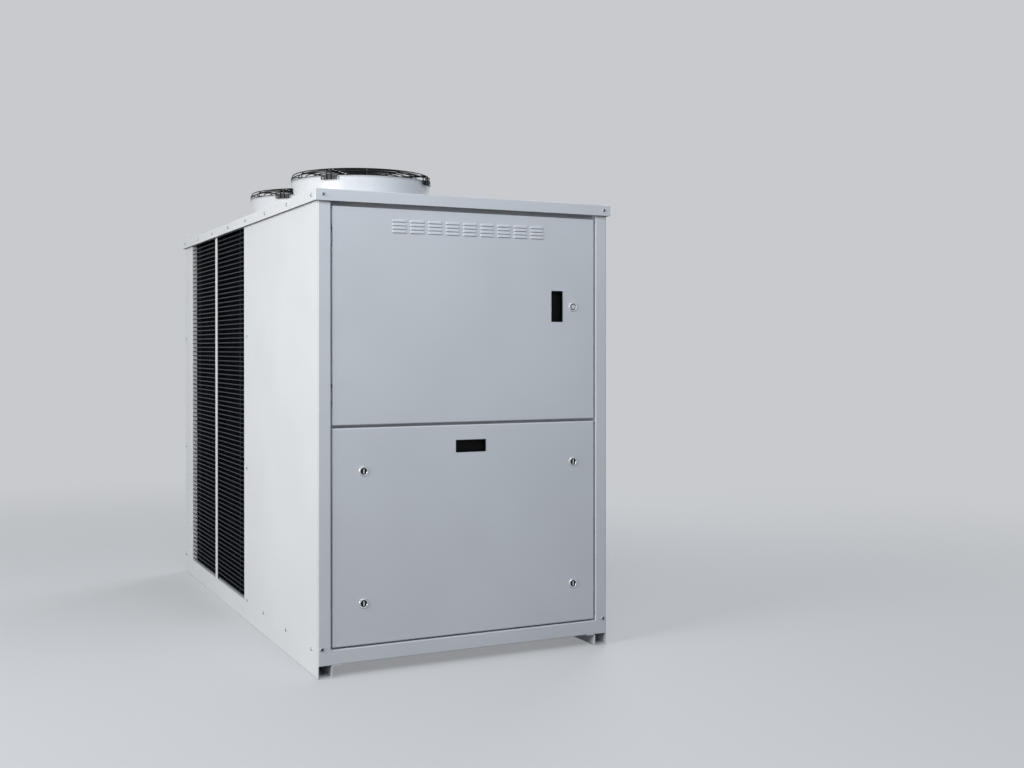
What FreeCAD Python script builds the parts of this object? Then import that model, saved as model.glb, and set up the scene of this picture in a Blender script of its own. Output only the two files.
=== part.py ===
import FreeCAD, Part
import math
import os
import types

import Sketcher

# Air-cooled industrial chiller. Millimetres, +Z up. The origin is on the floor under the middle of
# the casing, the doors face -Y and the fans blow upwards.

SIZES = {
    # Casing
    "body_width": 964,
    "body_depth": 1920,
    "cap_top": 1420,
    "cap_overhang": 10,
    "cap_depth": 34,
    "panel_sheet": 1.5,
    "frame_sheet": 2,
    # Clearances
    "seat_gap": 0.3,
    "running_gap": 0.05,
    # Skids
    "skid_width": 44,
    "skid_height": 38,
    "skid_sheet": 3,
    "skid_flange": 27,
    "anchor_radius": 6.5,
    "anchor_spacing": 1500,
    # Base rails
    "front_rail_height": 43,
    "side_rail_height": 57,
    "sill_height": 32,
    "rail_flange": 40,
    "landing_height": 40,
    # Posts and the landings that the doors close on
    "post_width": 39,
    "post_return": 43,
    "landing_depth": 23,
    "landing_width": 34,
    "rear_post_depth": 138,
    "rear_jamb_depth": 40,
    "mid_rail_height": 84,
    "top_landing": 34,
    # Side panels and partition
    "side_panel_length": 880,
    "side_panel_return": 20,
    "partition_setback": 160,
    # Doors
    "door_gap": 5,
    "door_recess": 3,
    "door_depth": 17,
    "door_lip": 26,
    "split_height": 729,
    "split_gap": 8,
    "door_head_gap": 12.4,
    "gasket_width": 8,
    # Louvres of the upper door
    "louvre_columns": 9,
    "louvre_rows": 4,
    "louvre_width": 46,
    "louvre_column_pitch": 57.6,
    "louvre_row_pitch": 10.7,
    "louvre_opening": 4,
    "louvre_hood": 3,
    "louvre_drop": 34.6,
    "louvre_offset": 0.5,
    # Recessed grips
    "grip_length": 98,
    "grip_breadth": 38,
    "grip_depth": 14,
    "grip_bezel": 1,
    "grip_wall": 1.5,
    "upper_grip_from_edge": 135.5,
    "upper_grip_height": 1091.5,
    "lower_grip_drop": 64.5,
    "lower_grip_offset": 3.5,
    # Quarter-turn locks
    "lock_flange_radius": 15,
    "lock_flange": 2.5,
    "lock_body_radius": 11,
    "lock_shaft_radius": 6,
    "lock_dish_radius": 10,
    "lock_dish_depth": 1.2,
    "lock_nut": 5,
    "lock_bit_width": 3.6,
    "lock_bit_length": 14,
    "tongue_length": 86,
    "tongue_width": 16,
    "tongue_sheet": 3,
    "tongue_gap": 1,
    "lock_from_right": 77.5,
    "lock_from_left": 96,
    "upper_lock_height": 1091,
    "lower_lock_high": 597,
    "lower_lock_low": 208,
    # Hinges of the upper door
    "hinge_inset": 7,
    "hinge_depth": 6,
    "hinge_radius": 3.5,
    "hinge_pin_radius": 1.75,
    "hinge_knuckle": 18,
    "hinge_leaf_length": 48,
    "hinge_leaf_width": 16,
    "hinge_leaf_sheet": 1.5,
    "hinge_arm_sheet": 3,
    "hinge_door_leaf": 34,
    "hinge_notch": 60,
    "hinge_notch_depth": 15,
    "hinge_from_end": 90,
    # Condenser bays
    "coil_recess": 20,
    "coil_thickness": 60,
    "coil_lap": 20,
    "header_radius": 12,
    "header_end_gap": 100,
    "wire_radius": 3.2,
    "wire_recess": 7,
    "wire_pitch": 17,
    "wire_strut": 5,
    "strut_inset": 100,
    "mullion_width": 33,
    "mullion_recess": 2,
    # Fans
    "fan_from_rear": 292,
    "fan_spacing": 616,
    "throat_radius": 252,
    "cowl_sheet": 2,
    "cowl_flange": 28,
    "cowl_height": 161,
    "cowl_straight": 105,
    "bell_flare": 6,
    "rim_lip": 4,
    "guard_height": 27,
    "guard_wire": 4,
    "guard_plate_radius": 75,
    "guard_rings": 6,
    "guard_leg": 6,
    "guard_leg_spread": 16,
    "guard_foot_length": 64,
    "guard_foot_drop": 14,
    "guard_foot_hole": 4,
    "guard_foot_hole_pitch": 46,
    "tip_gap": 8,
    "hub_radius": 90,
    "hub_height": 84,
    "hub_below_rim": 44,
    "stator_radius": 67,
    "spigot_radius": 15,
    "spigot_depth": 40,
    "blades": 5,
    "blade_sheet": 5,
    "blade_root_chord": 92,
    "blade_tip_chord": 150,
    "blade_root_angle": 38,
    "blade_tip_angle": 22,
    "blade_camber": 9,
    "blade_sweep": 34,
    # Electrical compartment
    "plate_setback": 236,
    "plate_edge_gap": 6.5,
    "plate_head_gap": 5.5,
    "switchgear_depth": 90,
    "switchgear_width": 760,
    "switchgear_rise": 40,
    "switchgear_drop": 298,
    # Machine compartment
    "tank_radius": 185,
    "tank_height": 700,
    "tank_dome": 66,
    "tank_x": -235,
    "tank_setback": 515,
    "foot_height": 24,
    "foot_radius": 12,
    "tank_foot_reach": 74,
    "machine_plate": 6,
    "compressor_radius": 92,
    "compressor_height": 430,
    "compressor_x": 262,
    "compressor_gap": 18,
    "dome_radius": 44,
    "exchanger_width": 110,
    "exchanger_depth": 90,
    "exchanger_height": 520,
    "exchanger_x": 190,
    "exchanger_gap": 10,
    "exchanger_port_offset": 30,
    "exchanger_cover": 6,
    "pump_x": -330,
    "pump_setback": 160,
    "pump_axis_height": 150,
    "pump_motor_radius": 68,
    "pump_motor_length": 210,
    "volute_radius": 85,
    "volute_width": 62,
    # Pipes and ports
    "water_pipe_radius": 19,
    "water_bend": 30,
    "gas_pipe_radius": 9,
    "gas_bend": 22,
    "gas_level": 1016,
    "gas_level_step": 110,
    "gas_pipe_offset": 18,
    "liquid_level": 197,
    "liquid_pipe_x": 290,
    "suction_level": 560,
    "suction_pipe_x": 400,
    "suction_inlet_level": 350,
    "return_level": 253,
    "return_pipe_x": 60,
    "pump_pipe_x": 40,
    "discharge_level": 360,
    "discharge_pipe_x": 300,
    "port_radius": 15.3,
    "port_depth": 22,
    "socket_radius": 23,
    "socket_stand": 8,
    "inlet_offset": 15,
    "inlet_z": 540,
    "outlet_setback": 320,
    "outlet_z": 250,
    "gland_radius": 16,
    "gland_bore": 9,
    "gland_length": 30,
    "gland_setback": 170,
    "gland_z": 830,
    # Screws
    "screw_radius": 5.5,
    "screw_head": 2.5,
    "cap_screw_pitch": 263.3,
    "cap_screw_from_end": 37.5,
    "cap_screw_inset": 14.5,
    "panel_screw_rise": 37,
    "panel_screw_inset": 63,
    "panel_screw_pitch": 274,
    "post_screw_low": 539,
    "post_screw_high": 1000,
    "post_screw_inset": 22,
    "front_screw_inset": 12.5,
    "panel_edge_screw": 46,
    "rear_screw_inset": 13,
    "rear_screw_pitch": 300,
}

App = FreeCAD
V = App.Vector
doc = App.newDocument("chiller")
sheet = doc.addObject("Spreadsheet::Sheet", "sizes")
for row, (alias, number) in enumerate(SIZES.items(), start=1):
    sheet.set(f"A{row}", str(number))
    sheet.setAlias(f"A{row}", alias)
doc.recompute()


class Size:
    """A number together with the sheet formula that gives it."""

    def __init__(self, value, formula):
        self.value = value
        self.formula = formula

    def __add__(self, other):
        other = as_size(other)
        return Size(self.value + other.value, f"({self.formula} + {other.formula})")

    def __sub__(self, other):
        other = as_size(other)
        return Size(self.value - other.value, f"({self.formula} - {other.formula})")

    def __mul__(self, other):
        other = as_size(other)
        return Size(self.value * other.value, f"({self.formula} * {other.formula})")

    def __truediv__(self, other):
        other = as_size(other)
        return Size(self.value / other.value, f"({self.formula} / {other.formula})")

    def __radd__(self, other):
        return as_size(other) + self

    def __rsub__(self, other):
        return as_size(other) - self

    def __rmul__(self, other):
        return as_size(other) * self

    def __neg__(self):
        return self * -1


def as_size(number):
    """The number as a Size, so that plain numbers and sheet sizes mix."""
    if isinstance(number, Size):
        return number
    return Size(float(number), repr(float(number)))


def sine(angle):
    return Size(math.sin(math.radians(angle.value)), f"sin({angle.formula} * 1 deg)")


def cosine(angle):
    return Size(math.cos(math.radians(angle.value)), f"cos({angle.formula} * 1 deg)")


S = types.SimpleNamespace(**{alias: Size(float(number), "sizes." + alias) for alias, number in SIZES.items()})
NODES = {}
OVERCUT = 1

# Levels and faces that several pieces share
half_width = S.body_width / 2
half_depth = S.body_depth / 2
front = -half_depth
rear = half_depth
cap_under = S.cap_top - S.panel_sheet
cap_edge = S.cap_top - S.cap_depth
skid_top = S.skid_height
foot_top = skid_top + S.frame_sheet
pan_top = foot_top + S.frame_sheet
base_top = skid_top + S.front_rail_height
sill_top = skid_top + S.sill_height
rail_skin = S.panel_sheet + S.frame_sheet
landing_front = front + S.landing_depth
landing_back = landing_front + S.frame_sheet
landing_inner = half_width - S.post_width - S.landing_width
side_panel_end = front + S.side_panel_length
rear_post_front = rear - S.rear_post_depth
partition_front = side_panel_end - S.partition_setback
partition_back = partition_front + S.frame_sheet
half_door = half_width - S.post_width - S.door_gap
door_face = front + S.door_recess
door_top = cap_edge - S.door_head_gap
door_bottom = S.split_height + S.split_gap / 2
panel_top = S.split_height - S.split_gap / 2
panel_bottom = base_top + S.door_gap
rim_top = S.cap_top + S.cowl_height
guard_top = rim_top + S.guard_height
rear_fan_y = rear - S.fan_from_rear
front_fan_y = rear_fan_y - S.fan_spacing
mullion_y = (side_panel_end + rear_post_front) / 2
tank_y = front + S.tank_setback
exchanger_y = partition_front - S.exchanger_gap - S.exchanger_width / 2
compressor_y = exchanger_y - S.exchanger_width / 2 - S.compressor_gap - S.compressor_radius
pump_y = front + S.pump_setback
inlet_y = exchanger_y + S.inlet_offset
outlet_y = front + S.outlet_setback
gland_y = front + S.gland_setback


def bind(thing, **sizes):
    """Tie properties to sheet formulas. A double underscore in a name stands for a dot."""
    for name, size in sizes.items():
        thing.setExpression(name.replace("__", "."), as_size(size).formula)


def place(thing, x, y, z):
    bind(thing, Placement__Base__x=x, Placement__Base__y=y, Placement__Base__z=z)
    return thing


def node(name, thing):
    """Name a finished sub-part: its label is the name of its file."""
    thing.Label = name
    NODES[name] = thing
    return thing


def box(x, y, z):
    """A block between two places along each axis."""
    block = doc.addObject("Part::Box", "block")
    bind(block, Length=x[1] - x[0], Width=y[1] - y[0], Height=z[1] - z[0])
    return place(block, x[0], y[0], z[0])


TURNS = {
    "x": App.Rotation(V(0, 1, 0), 90),
    "y": App.Rotation(V(1, 0, 0), -90),
    "z": App.Rotation(),
}


def cylinder(at, radius, length, axis="z"):
    """A round bar that starts at a point and runs along an axis."""
    bar = doc.addObject("Part::Cylinder", "bar")
    bar.Placement = App.Placement(V(), TURNS[axis])
    bind(bar, Radius=radius, Height=length)
    return place(bar, *at)


def hexagon(at, radius, length, axis="z"):
    """A six-sided bar, measured over its corners."""
    bar = doc.addObject("Part::Prism", "hexagon")
    bar.Polygon = 6
    bar.Placement = App.Placement(V(), TURNS[axis])
    bind(bar, Circumradius=radius, Height=length)
    return place(bar, *at)


def hole(at, radius, depth, axis):
    """The tool for a hole, which overshoots both faces."""
    start = list(at)
    start["xyz".index(axis)] = at["xyz".index(axis)] - OVERCUT
    return cylinder(start, radius, depth + 2 * OVERCUT, axis)


def fuse(*things):
    if len(things) == 1:
        return things[0]
    joined = doc.addObject("Part::MultiFuse", "joined")
    joined.Shapes = list(things)
    joined.Refine = True
    return joined


def cut(base, *tools):
    remainder = doc.addObject("Part::Cut", "remainder")
    remainder.Base = base
    remainder.Tool = fuse(*tools)
    return remainder


def group(*things):
    """Separate solids that share one node."""
    together = doc.addObject("Part::Compound", "together")
    together.Links = list(things)
    return together


def inward(side, near, far):
    """The span between two distances in from the left (-1) or the right (1) face."""
    if side < 0:
        return near - half_width, far - half_width
    return half_width - far, half_width - near


def both(half):
    return -half, half


def ordered(one, other):
    """A span with its lower place first."""
    return (one, other) if one.value < other.value else (other, one)


def plane_of(body, role):
    return [feature for feature in body.Origin.OriginFeatures if feature.Role == role][0]


def sketch_on(body, role):
    sketch = body.newObject("Sketcher::SketchObject", "sketch")
    sketch.AttachmentSupport = [(plane_of(body, role), "")]
    sketch.MapMode = "FlatFace"
    return sketch


def hold(sketch, kind, *target):
    """Add a constraint whose last value is a size."""
    *where, size = target
    index = sketch.addConstraint(Sketcher.Constraint(kind, *where, as_size(size).value))
    sketch.setExpression(f"Constraints[{index}]", as_size(size).formula)


def outline(sketch, points):
    """A closed outline of straight lines, with both places of every corner held."""
    corners = [V(as_size(u).value, as_size(v).value, 0) for u, v in points]
    count = len(points)
    first = sketch.GeometryCount
    for index in range(count):
        sketch.addGeometry(Part.LineSegment(corners[index], corners[(index + 1) % count]))
    for index in range(count):
        following = first + (index + 1) % count
        sketch.addConstraint(Sketcher.Constraint("Coincident", first + index, 2, following, 1))
    for index, (u, v) in enumerate(points):
        hold(sketch, "DistanceX", -1, 1, first + index, 1, u)
        hold(sketch, "DistanceY", -1, 1, first + index, 1, v)


def circle(sketch, radius):
    index = sketch.addGeometry(Part.Circle(V(), V(0, 0, 1), as_size(radius).value))
    sketch.addConstraint(Sketcher.Constraint("Coincident", index, 3, -1, 1))
    hold(sketch, "Radius", index, radius)


def pad(body, sketch, length, backwards=False):
    feature = body.newObject("PartDesign::Pad", "pad")
    feature.Profile = sketch
    feature.Reversed = backwards
    bind(feature, Length=length)
    return feature


def section_bar(role, points, length):
    """A bar of one section: drawn on XY it runs up, on XZ backwards and on YZ to the right."""
    body = doc.addObject("PartDesign::Body", "bar_body")
    sketch = sketch_on(body, role)
    outline(sketch, points)
    pad(body, sketch, length, backwards=role == "XZ_Plane")
    return body


def turned(points):
    """A body turned about its own upright axis from half of its section."""
    body = doc.addObject("PartDesign::Body", "turned_body")
    sketch = sketch_on(body, "XZ_Plane")
    outline(sketch, points)
    feature = body.newObject("PartDesign::Revolution", "revolution")
    feature.Profile = sketch
    feature.ReferenceAxis = (sketch, ["V_Axis"])
    feature.Angle = 360
    return body


def domed_can(radius, height, dome):
    """An upright pressed vessel: a cylinder whose two rims are rounded over."""
    body = doc.addObject("PartDesign::Body", "can_body")
    sketch = sketch_on(body, "XY_Plane")
    circle(sketch, radius)
    shell = pad(body, sketch, height)
    doc.recompute()
    rims = [f"Edge{n}" for n, edge in enumerate(shell.Shape.Edges, start=1) if edge.isClosed()]
    rounding = body.newObject("PartDesign::Fillet", "rounding")
    rounding.Base = (shell, rims)
    bind(rounding, Radius=dome)
    return body


def tube(corners, radius, bend):
    """A pipe through the corners, with an arc of the bend radius in each of them."""
    points = [V(*[as_size(place).value for place in corner]) for corner in corners]
    edges = []
    start = points[0]
    for before, corner, after in zip(points, points[1:], points[2:]):
        came = (corner - before).normalize()
        leaves = (after - corner).normalize()
        half_turn = came.getAngle(leaves) / 2
        setback = bend.value * math.tan(half_turn)
        enter = corner - came * setback
        leave = corner + leaves * setback
        towards_centre = (leaves - came).normalize()
        middle = corner + towards_centre * (bend.value / math.cos(half_turn) - bend.value)
        edges.append(Part.LineSegment(start, enter).toShape())
        edges.append(Part.Arc(enter, middle, leave).toShape())
        start = leave
    edges.append(Part.LineSegment(start, points[-1]).toShape())
    direction = points[1] - points[0]
    ring = Part.Wire([Part.makeCircle(radius.value, points[0], direction)])
    return Part.Wire(edges).makePipe(Part.Face(ring))


def feature_of(shape):
    thing = doc.addObject("Part::Feature", "formed")
    thing.Shape = shape
    return thing


def make_skids():
    """Two open-ended folded channels with a flange turned inwards, drilled for anchors."""
    wide, high, sheet_, flange = S.skid_width, S.skid_height, S.skid_sheet, S.skid_flange
    section = [
        (0, 0), (wide, 0), (wide, high - sheet_), (wide + flange, high - sheet_), (wide + flange, high),
        (wide - sheet_, high), (wide - sheet_, sheet_), (sheet_, sheet_), (sheet_, high), (0, high),
    ]
    for side, name in ((-1, "skid_left"), (1, "skid_right")):
        channel = section_bar("XZ_Plane", [(-side * u, v) for u, v in section], S.body_depth)
        place(channel, side * half_width, front, 0)
        middle = side * (half_width - wide / 2)
        anchors = [hole((middle, end * S.anchor_spacing / 2, 0), S.anchor_radius, sheet_, "z")
                   for end in (-1, 1)]
        node(name, cut(channel, *anchors))


def rail_across(end, section, half):
    """A rail from side to side. Its section is given as places inwards from the front face, or from
    the rear face where the end is -1, and as levels."""
    rail = section_bar("YZ_Plane", [(end * (front + deep), level) for deep, level in section], half * 2)
    return place(rail, -half, 0, 0)


def make_base_rails():
    """Folded rails on the skids, and the pan that closes the bottom."""
    sheet_ = S.frame_sheet
    landing = S.landing_depth
    section = [
        (0, skid_top), (S.rail_flange, skid_top), (S.rail_flange, foot_top), (sheet_, foot_top),
        (sheet_, base_top - sheet_), (landing + sheet_, base_top - sheet_),
        (landing + sheet_, base_top + S.landing_height), (landing, base_top + S.landing_height),
        (landing, base_top), (0, base_top),
    ]
    for end, name in ((1, "base_rail_front"), (-1, "base_rail_rear")):
        rail = rail_across(end, section, half_width - S.post_width)
        deep = ordered(end * landing_front, end * (front + S.rail_flange + OVERCUT))
        notches = [box(ordered(side * landing_inner, side * half_width), deep,
                       (skid_top - OVERCUT, base_top + S.landing_height + OVERCUT)) for side in (-1, 1)]
        node(name, cut(rail, *notches))
    rail_front = front + S.post_return
    rail_top = skid_top + S.side_rail_height
    flange_edge = rail_skin + S.rail_flange
    ledge_edge = S.coil_recess - S.seat_gap
    behind_panel = [
        (S.panel_sheet, skid_top), (flange_edge, skid_top), (flange_edge, foot_top), (rail_skin, foot_top),
        (rail_skin, rail_top), (S.panel_sheet, rail_top),
    ]
    under_coil = [
        (0, skid_top), (flange_edge, skid_top), (flange_edge, foot_top), (rail_skin, foot_top),
        (rail_skin, sill_top - sheet_), (ledge_edge, sill_top - sheet_), (ledge_edge, sill_top),
        (0, sill_top),
    ]
    for side, name in ((-1, "base_rail_left"), (1, "base_rail_right")):
        pieces = []
        for section, start, stop in ((behind_panel, rail_front, side_panel_end),
                                     (under_coil, side_panel_end, rear_post_front)):
            bar = section_bar("XZ_Plane", [(-side * u, v) for u, v in section], stop - start)
            pieces.append(place(bar, side * half_width, start, 0))
        node(name, fuse(*pieces))
    node("base_pan", fuse(
        box(both(half_width - rail_skin), (landing_back, rear_post_front), (foot_top, pan_top)),
        box(both(half_width - S.rear_jamb_depth), (rear_post_front, -landing_back), (foot_top, pan_top)),
    ))


def make_posts():
    """Folded corner posts. A jamb and a landing on each take the edge of a door or of the rear panel."""
    sheet_ = S.frame_sheet
    landing_end = S.post_width + S.landing_width
    jamb = [
        (0, 0), (S.post_width, 0), (S.post_width, S.landing_depth), (landing_end, S.landing_depth),
        (landing_end, S.landing_depth + sheet_), (S.post_width - sheet_, S.landing_depth + sheet_),
        (S.post_width - sheet_, sheet_),
    ]
    front_section = jamb + [
        (rail_skin, sheet_), (rail_skin, S.post_return), (S.panel_sheet, S.post_return),
        (S.panel_sheet, sheet_), (0, sheet_),
    ]
    rear_section = jamb + [
        (sheet_, sheet_), (sheet_, S.rear_post_depth - sheet_),
        (S.rear_jamb_depth, S.rear_post_depth - sheet_),
        (S.rear_jamb_depth, S.rear_post_depth), (0, S.rear_post_depth),
    ]
    for side, hand in ((-1, "left"), (1, "right")):
        for end, name, section in ((1, "front", front_section), (-1, "rear", rear_section)):
            points = [(-side * u, end * v) for u, v in section]
            post = section_bar("XY_Plane", points, cap_under - skid_top)
            node(f"post_{name}_{hand}", place(post, side * half_width, end * front, skid_top))


def make_top_rails():
    """Rails under the roof cap and the rail behind the split between door and panel."""
    sheet_ = S.frame_sheet
    low = door_top - S.top_landing
    near = S.landing_depth
    back = near + sheet_
    deep = back + S.rail_flange
    angle = [(near, low), (back, low), (back, cap_under - sheet_), (deep, cap_under - sheet_),
             (deep, cap_under),
             (near, cap_under)]
    for end, name in ((1, "top_rail_front"), (-1, "top_rail_rear")):
        node(name, rail_across(end, angle, landing_inner))
    flange_edge = rail_skin + S.rail_flange
    section = [
        (S.panel_sheet, cap_edge), (rail_skin, cap_edge), (rail_skin, cap_under - sheet_),
        (flange_edge, cap_under - sheet_), (flange_edge, cap_under), (S.panel_sheet, cap_under),
    ]
    rail_front = front + S.post_return
    for side, name in ((-1, "top_rail_left"), (1, "top_rail_right")):
        rail = section_bar("XZ_Plane", [(-side * u, v) for u, v in section], rear_post_front - rail_front)
        node(name, place(rail, side * half_width, rail_front, 0))
    low = S.split_height - S.mid_rail_height / 2
    high = S.split_height + S.mid_rail_height / 2
    deep = back + S.landing_depth
    node("mid_rail", rail_across(1, [
        (near, low), (deep, low), (deep, low + sheet_), (back, low + sheet_), (back, high - sheet_),
        (deep, high - sheet_), (deep, high), (near, high),
    ], landing_inner))


def make_roof():
    """The folded cap: a lipped sheet with a hole under each fan."""
    outer = (both(half_width + S.cap_overhang), both(half_depth + S.cap_overhang))
    inner_x = both(half_width + S.cap_overhang - S.panel_sheet)
    inner_y = both(half_depth + S.cap_overhang - S.panel_sheet)
    cap = box(*outer, (cap_edge, S.cap_top))
    hollow = box(inner_x, inner_y, (cap_edge - OVERCUT, cap_under))
    openings = [hole((0, y, cap_under), S.throat_radius, S.panel_sheet, "z")
                for y in (front_fan_y, rear_fan_y)]
    node("roof_cap", cut(cap, hollow, *openings))


def make_side_panels():
    """Side skins of the machine compartment, each with its rear edge folded in. The right one is
    holed for the two water sockets and the cable gland."""
    for side, name in ((-1, "side_panel_left"), (1, "side_panel_right")):
        panel = fuse(
            box(inward(side, 0, S.panel_sheet), (front + S.frame_sheet, side_panel_end),
                (skid_top, cap_under)),
            box(inward(side, S.panel_sheet, S.side_panel_return),
                (side_panel_end - S.panel_sheet, side_panel_end), (pan_top + S.side_rail_height, cap_edge)),
        )
        if side > 0:
            skin = half_width - S.panel_sheet
            panel = cut(
                panel,
                hole((skin, inlet_y, S.inlet_z), S.socket_radius + S.seat_gap, S.panel_sheet, "x"),
                hole((skin, outlet_y, S.outlet_z), S.socket_radius + S.seat_gap, S.panel_sheet, "x"),
                hole((skin, gland_y, S.gland_z), S.gland_radius + S.seat_gap, S.panel_sheet, "x"),
            )
        node(name, panel)


def pipe_holes():
    """Where the refrigerant pipes pass the partition, as pairs of X and Z."""
    return [(S.compressor_x, S.gas_level), (-S.compressor_x, S.gas_level + S.gas_level_step),
            (S.liquid_pipe_x, S.liquid_level)]


def make_partition():
    """The wall between the machine compartment and the fan plenum."""
    wall = box(both(half_width - rail_skin), (partition_front, partition_back),
               (pan_top, cap_under - S.frame_sheet))
    passes = [hole((x, partition_front, z), S.gas_pipe_radius + S.seat_gap, S.frame_sheet, "y")
              for x, z in pipe_holes()]
    node("partition_wall", cut(wall, *passes))


def folded_tray(width, height, face, depth, end):
    """A sheet folded into a shallow tray with lips turned in: skin at the face, open behind.
    The end is 1 where the skin looks forwards and -1 where it looks backwards."""
    def deep(near, far):
        return ordered(face + end * near, face + end * far)

    def inset(span, by):
        return span[0] + by, span[1] - by

    skin = S.panel_sheet
    return cut(
        box(width, deep(0, depth), height),
        box(inset(width, skin), deep(skin, depth - skin), inset(height, skin)),
        box(inset(width, S.door_lip), deep(depth - skin - OVERCUT, depth + OVERCUT),
            inset(height, S.door_lip)),
    )


def make_louvres(door):
    """Pressed louvres: rows of slots, each under a small hood that leans out of the skin."""
    rows = int(S.louvre_rows.value)
    columns = int(S.louvre_columns.value)
    half_span = (S.louvre_column_pitch * (columns - 1) + S.louvre_width) / 2
    span = (S.louvre_offset - half_span, S.louvre_offset + half_span)
    slots = []
    hoods = []
    for row in range(rows):
        top = door_top - S.louvre_drop - S.louvre_row_pitch * row
        slots.append(box(span, (door_face - OVERCUT, door_face + S.panel_sheet + OVERCUT),
                         (top - S.louvre_opening, top)))
        hood = section_bar("YZ_Plane", [
            (S.panel_sheet, 0), (0, S.panel_sheet), (-S.louvre_hood, -S.louvre_opening),
            (-S.louvre_hood + S.panel_sheet / 2, -S.louvre_opening - S.panel_sheet / 4),
        ], half_span * 2)
        hoods.append(place(hood, span[0], door_face, top))
    bottom = door_top - S.louvre_drop - S.louvre_row_pitch * rows
    bridges = []
    for column in range(columns - 1):
        left = span[0] + S.louvre_column_pitch * column + S.louvre_width
        bridges.append(box(
            (left, left + S.louvre_column_pitch - S.louvre_width),
            (door_face - S.louvre_hood - OVERCUT, door_face + S.panel_sheet + 2 * OVERCUT),
            (bottom, door_top - S.louvre_drop + 2 * S.panel_sheet),
        ))
    slotted = cut(door, cut(fuse(*slots), *bridges))
    return fuse(slotted, cut(fuse(*hoods), *bridges))


def grip_place(upper):
    """The middle of a recessed grip and its half sizes along X and Z."""
    if upper:
        x = half_door - S.upper_grip_from_edge
        return x, S.upper_grip_height, S.grip_breadth / 2, S.grip_length / 2
    return S.lower_grip_offset, panel_top - S.lower_grip_drop, S.grip_length / 2, S.grip_breadth / 2


def grip_window(upper):
    x, z, wide, high = grip_place(upper)
    edge = S.grip_bezel + S.seat_gap
    return box((x - wide + edge, x + wide - edge), (door_face - OVERCUT, door_face + S.panel_sheet + OVERCUT),
               (z - high + edge, z + high - edge))


def make_grip(upper, name):
    """A moulded cup let into the door, with a thin bezel on the skin."""
    x, z, wide, high = grip_place(upper)
    edge = S.grip_bezel + S.seat_gap * 2
    wall = edge + S.grip_wall
    bezel = box((x - wide, x + wide), (door_face - S.grip_bezel, door_face), (z - high, z + high))
    cup = box((x - wide + edge, x + wide - edge), (door_face, door_face + S.grip_depth),
              (z - high + edge, z + high - edge))
    hollow = box((x - wide + wall, x + wide - wall),
                 (door_face - S.grip_bezel - OVERCUT, door_face + S.grip_depth - S.grip_wall),
                 (z - high + wall, z + high - wall))
    node(name, cut(fuse(bezel, cup), hollow))


def gasket_ring(height):
    """The seal behind the lips of a door, a hair short of the landing that it closes on."""
    outer = S.door_lip - S.seat_gap
    inner = S.door_lip - S.gasket_width
    deep = (door_face + S.door_depth, landing_front - S.seat_gap)

    def frame_span(by):
        return (-half_door + by, half_door - by), (height[0] + by, height[1] - by)

    (x_out, z_out), (x_in, z_in) = frame_span(inner), frame_span(outer)
    return cut(box(x_out, deep, z_out), box(x_in, (deep[0] - OVERCUT, deep[1] + OVERCUT), z_in))


def lock_holes(places):
    return [hole((x, door_face, z), S.lock_body_radius + S.seat_gap, S.panel_sheet, "y") for x, z in places]


def lock_housing(x, z):
    """A round die-cast housing: dished flange in front of the skin, nut behind it."""
    behind = door_face + S.panel_sheet
    barrel_end = landing_back - S.seat_gap
    face = door_face - S.lock_flange
    solid = fuse(
        cylinder((x, face, z), S.lock_flange_radius, S.lock_flange, "y"),
        cylinder((x, face, z), S.lock_body_radius, barrel_end - face, "y"),
        hexagon((x, behind, z), S.lock_flange_radius, S.lock_nut, "y"),
    )
    return cut(
        solid,
        cylinder((x, face - OVERCUT, z), S.lock_shaft_radius + S.running_gap,
                 barrel_end - face + 2 * OVERCUT, "y"),
        cylinder((x, face - OVERCUT, z), S.lock_dish_radius, S.lock_dish_depth + OVERCUT, "y"),
    )


def lock_cam(x, z, name):
    """The turning core of a lock: key bit in front, shaft, and the tongue behind the frame."""
    bit_front = door_face - S.lock_flange
    shaft_front = bit_front + S.lock_dish_depth
    tongue_front = landing_back + S.tongue_gap
    tongue_back = tongue_front + S.tongue_sheet
    half_bit = S.lock_bit_width / 2
    node(name, fuse(
        cylinder((x, shaft_front, z), S.lock_shaft_radius, tongue_back - shaft_front, "y"),
        box((x - half_bit, x + half_bit), (bit_front, shaft_front),
            (z - S.lock_bit_length / 2, z + S.lock_bit_length / 2)),
        cylinder((x, tongue_front, z), S.tongue_width / 2, S.tongue_sheet, "y"),
        box((x - S.tongue_width / 2, x + S.tongue_width / 2), (tongue_front, tongue_back),
            (z - S.tongue_length, z)),
    ))


def hinge_places():
    """The heights of the hinges' middles."""
    return [door_bottom + S.hinge_from_end, door_top - S.hinge_from_end]


def hinge_axis():
    return -half_door + S.hinge_inset, door_face + S.hinge_depth


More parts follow.
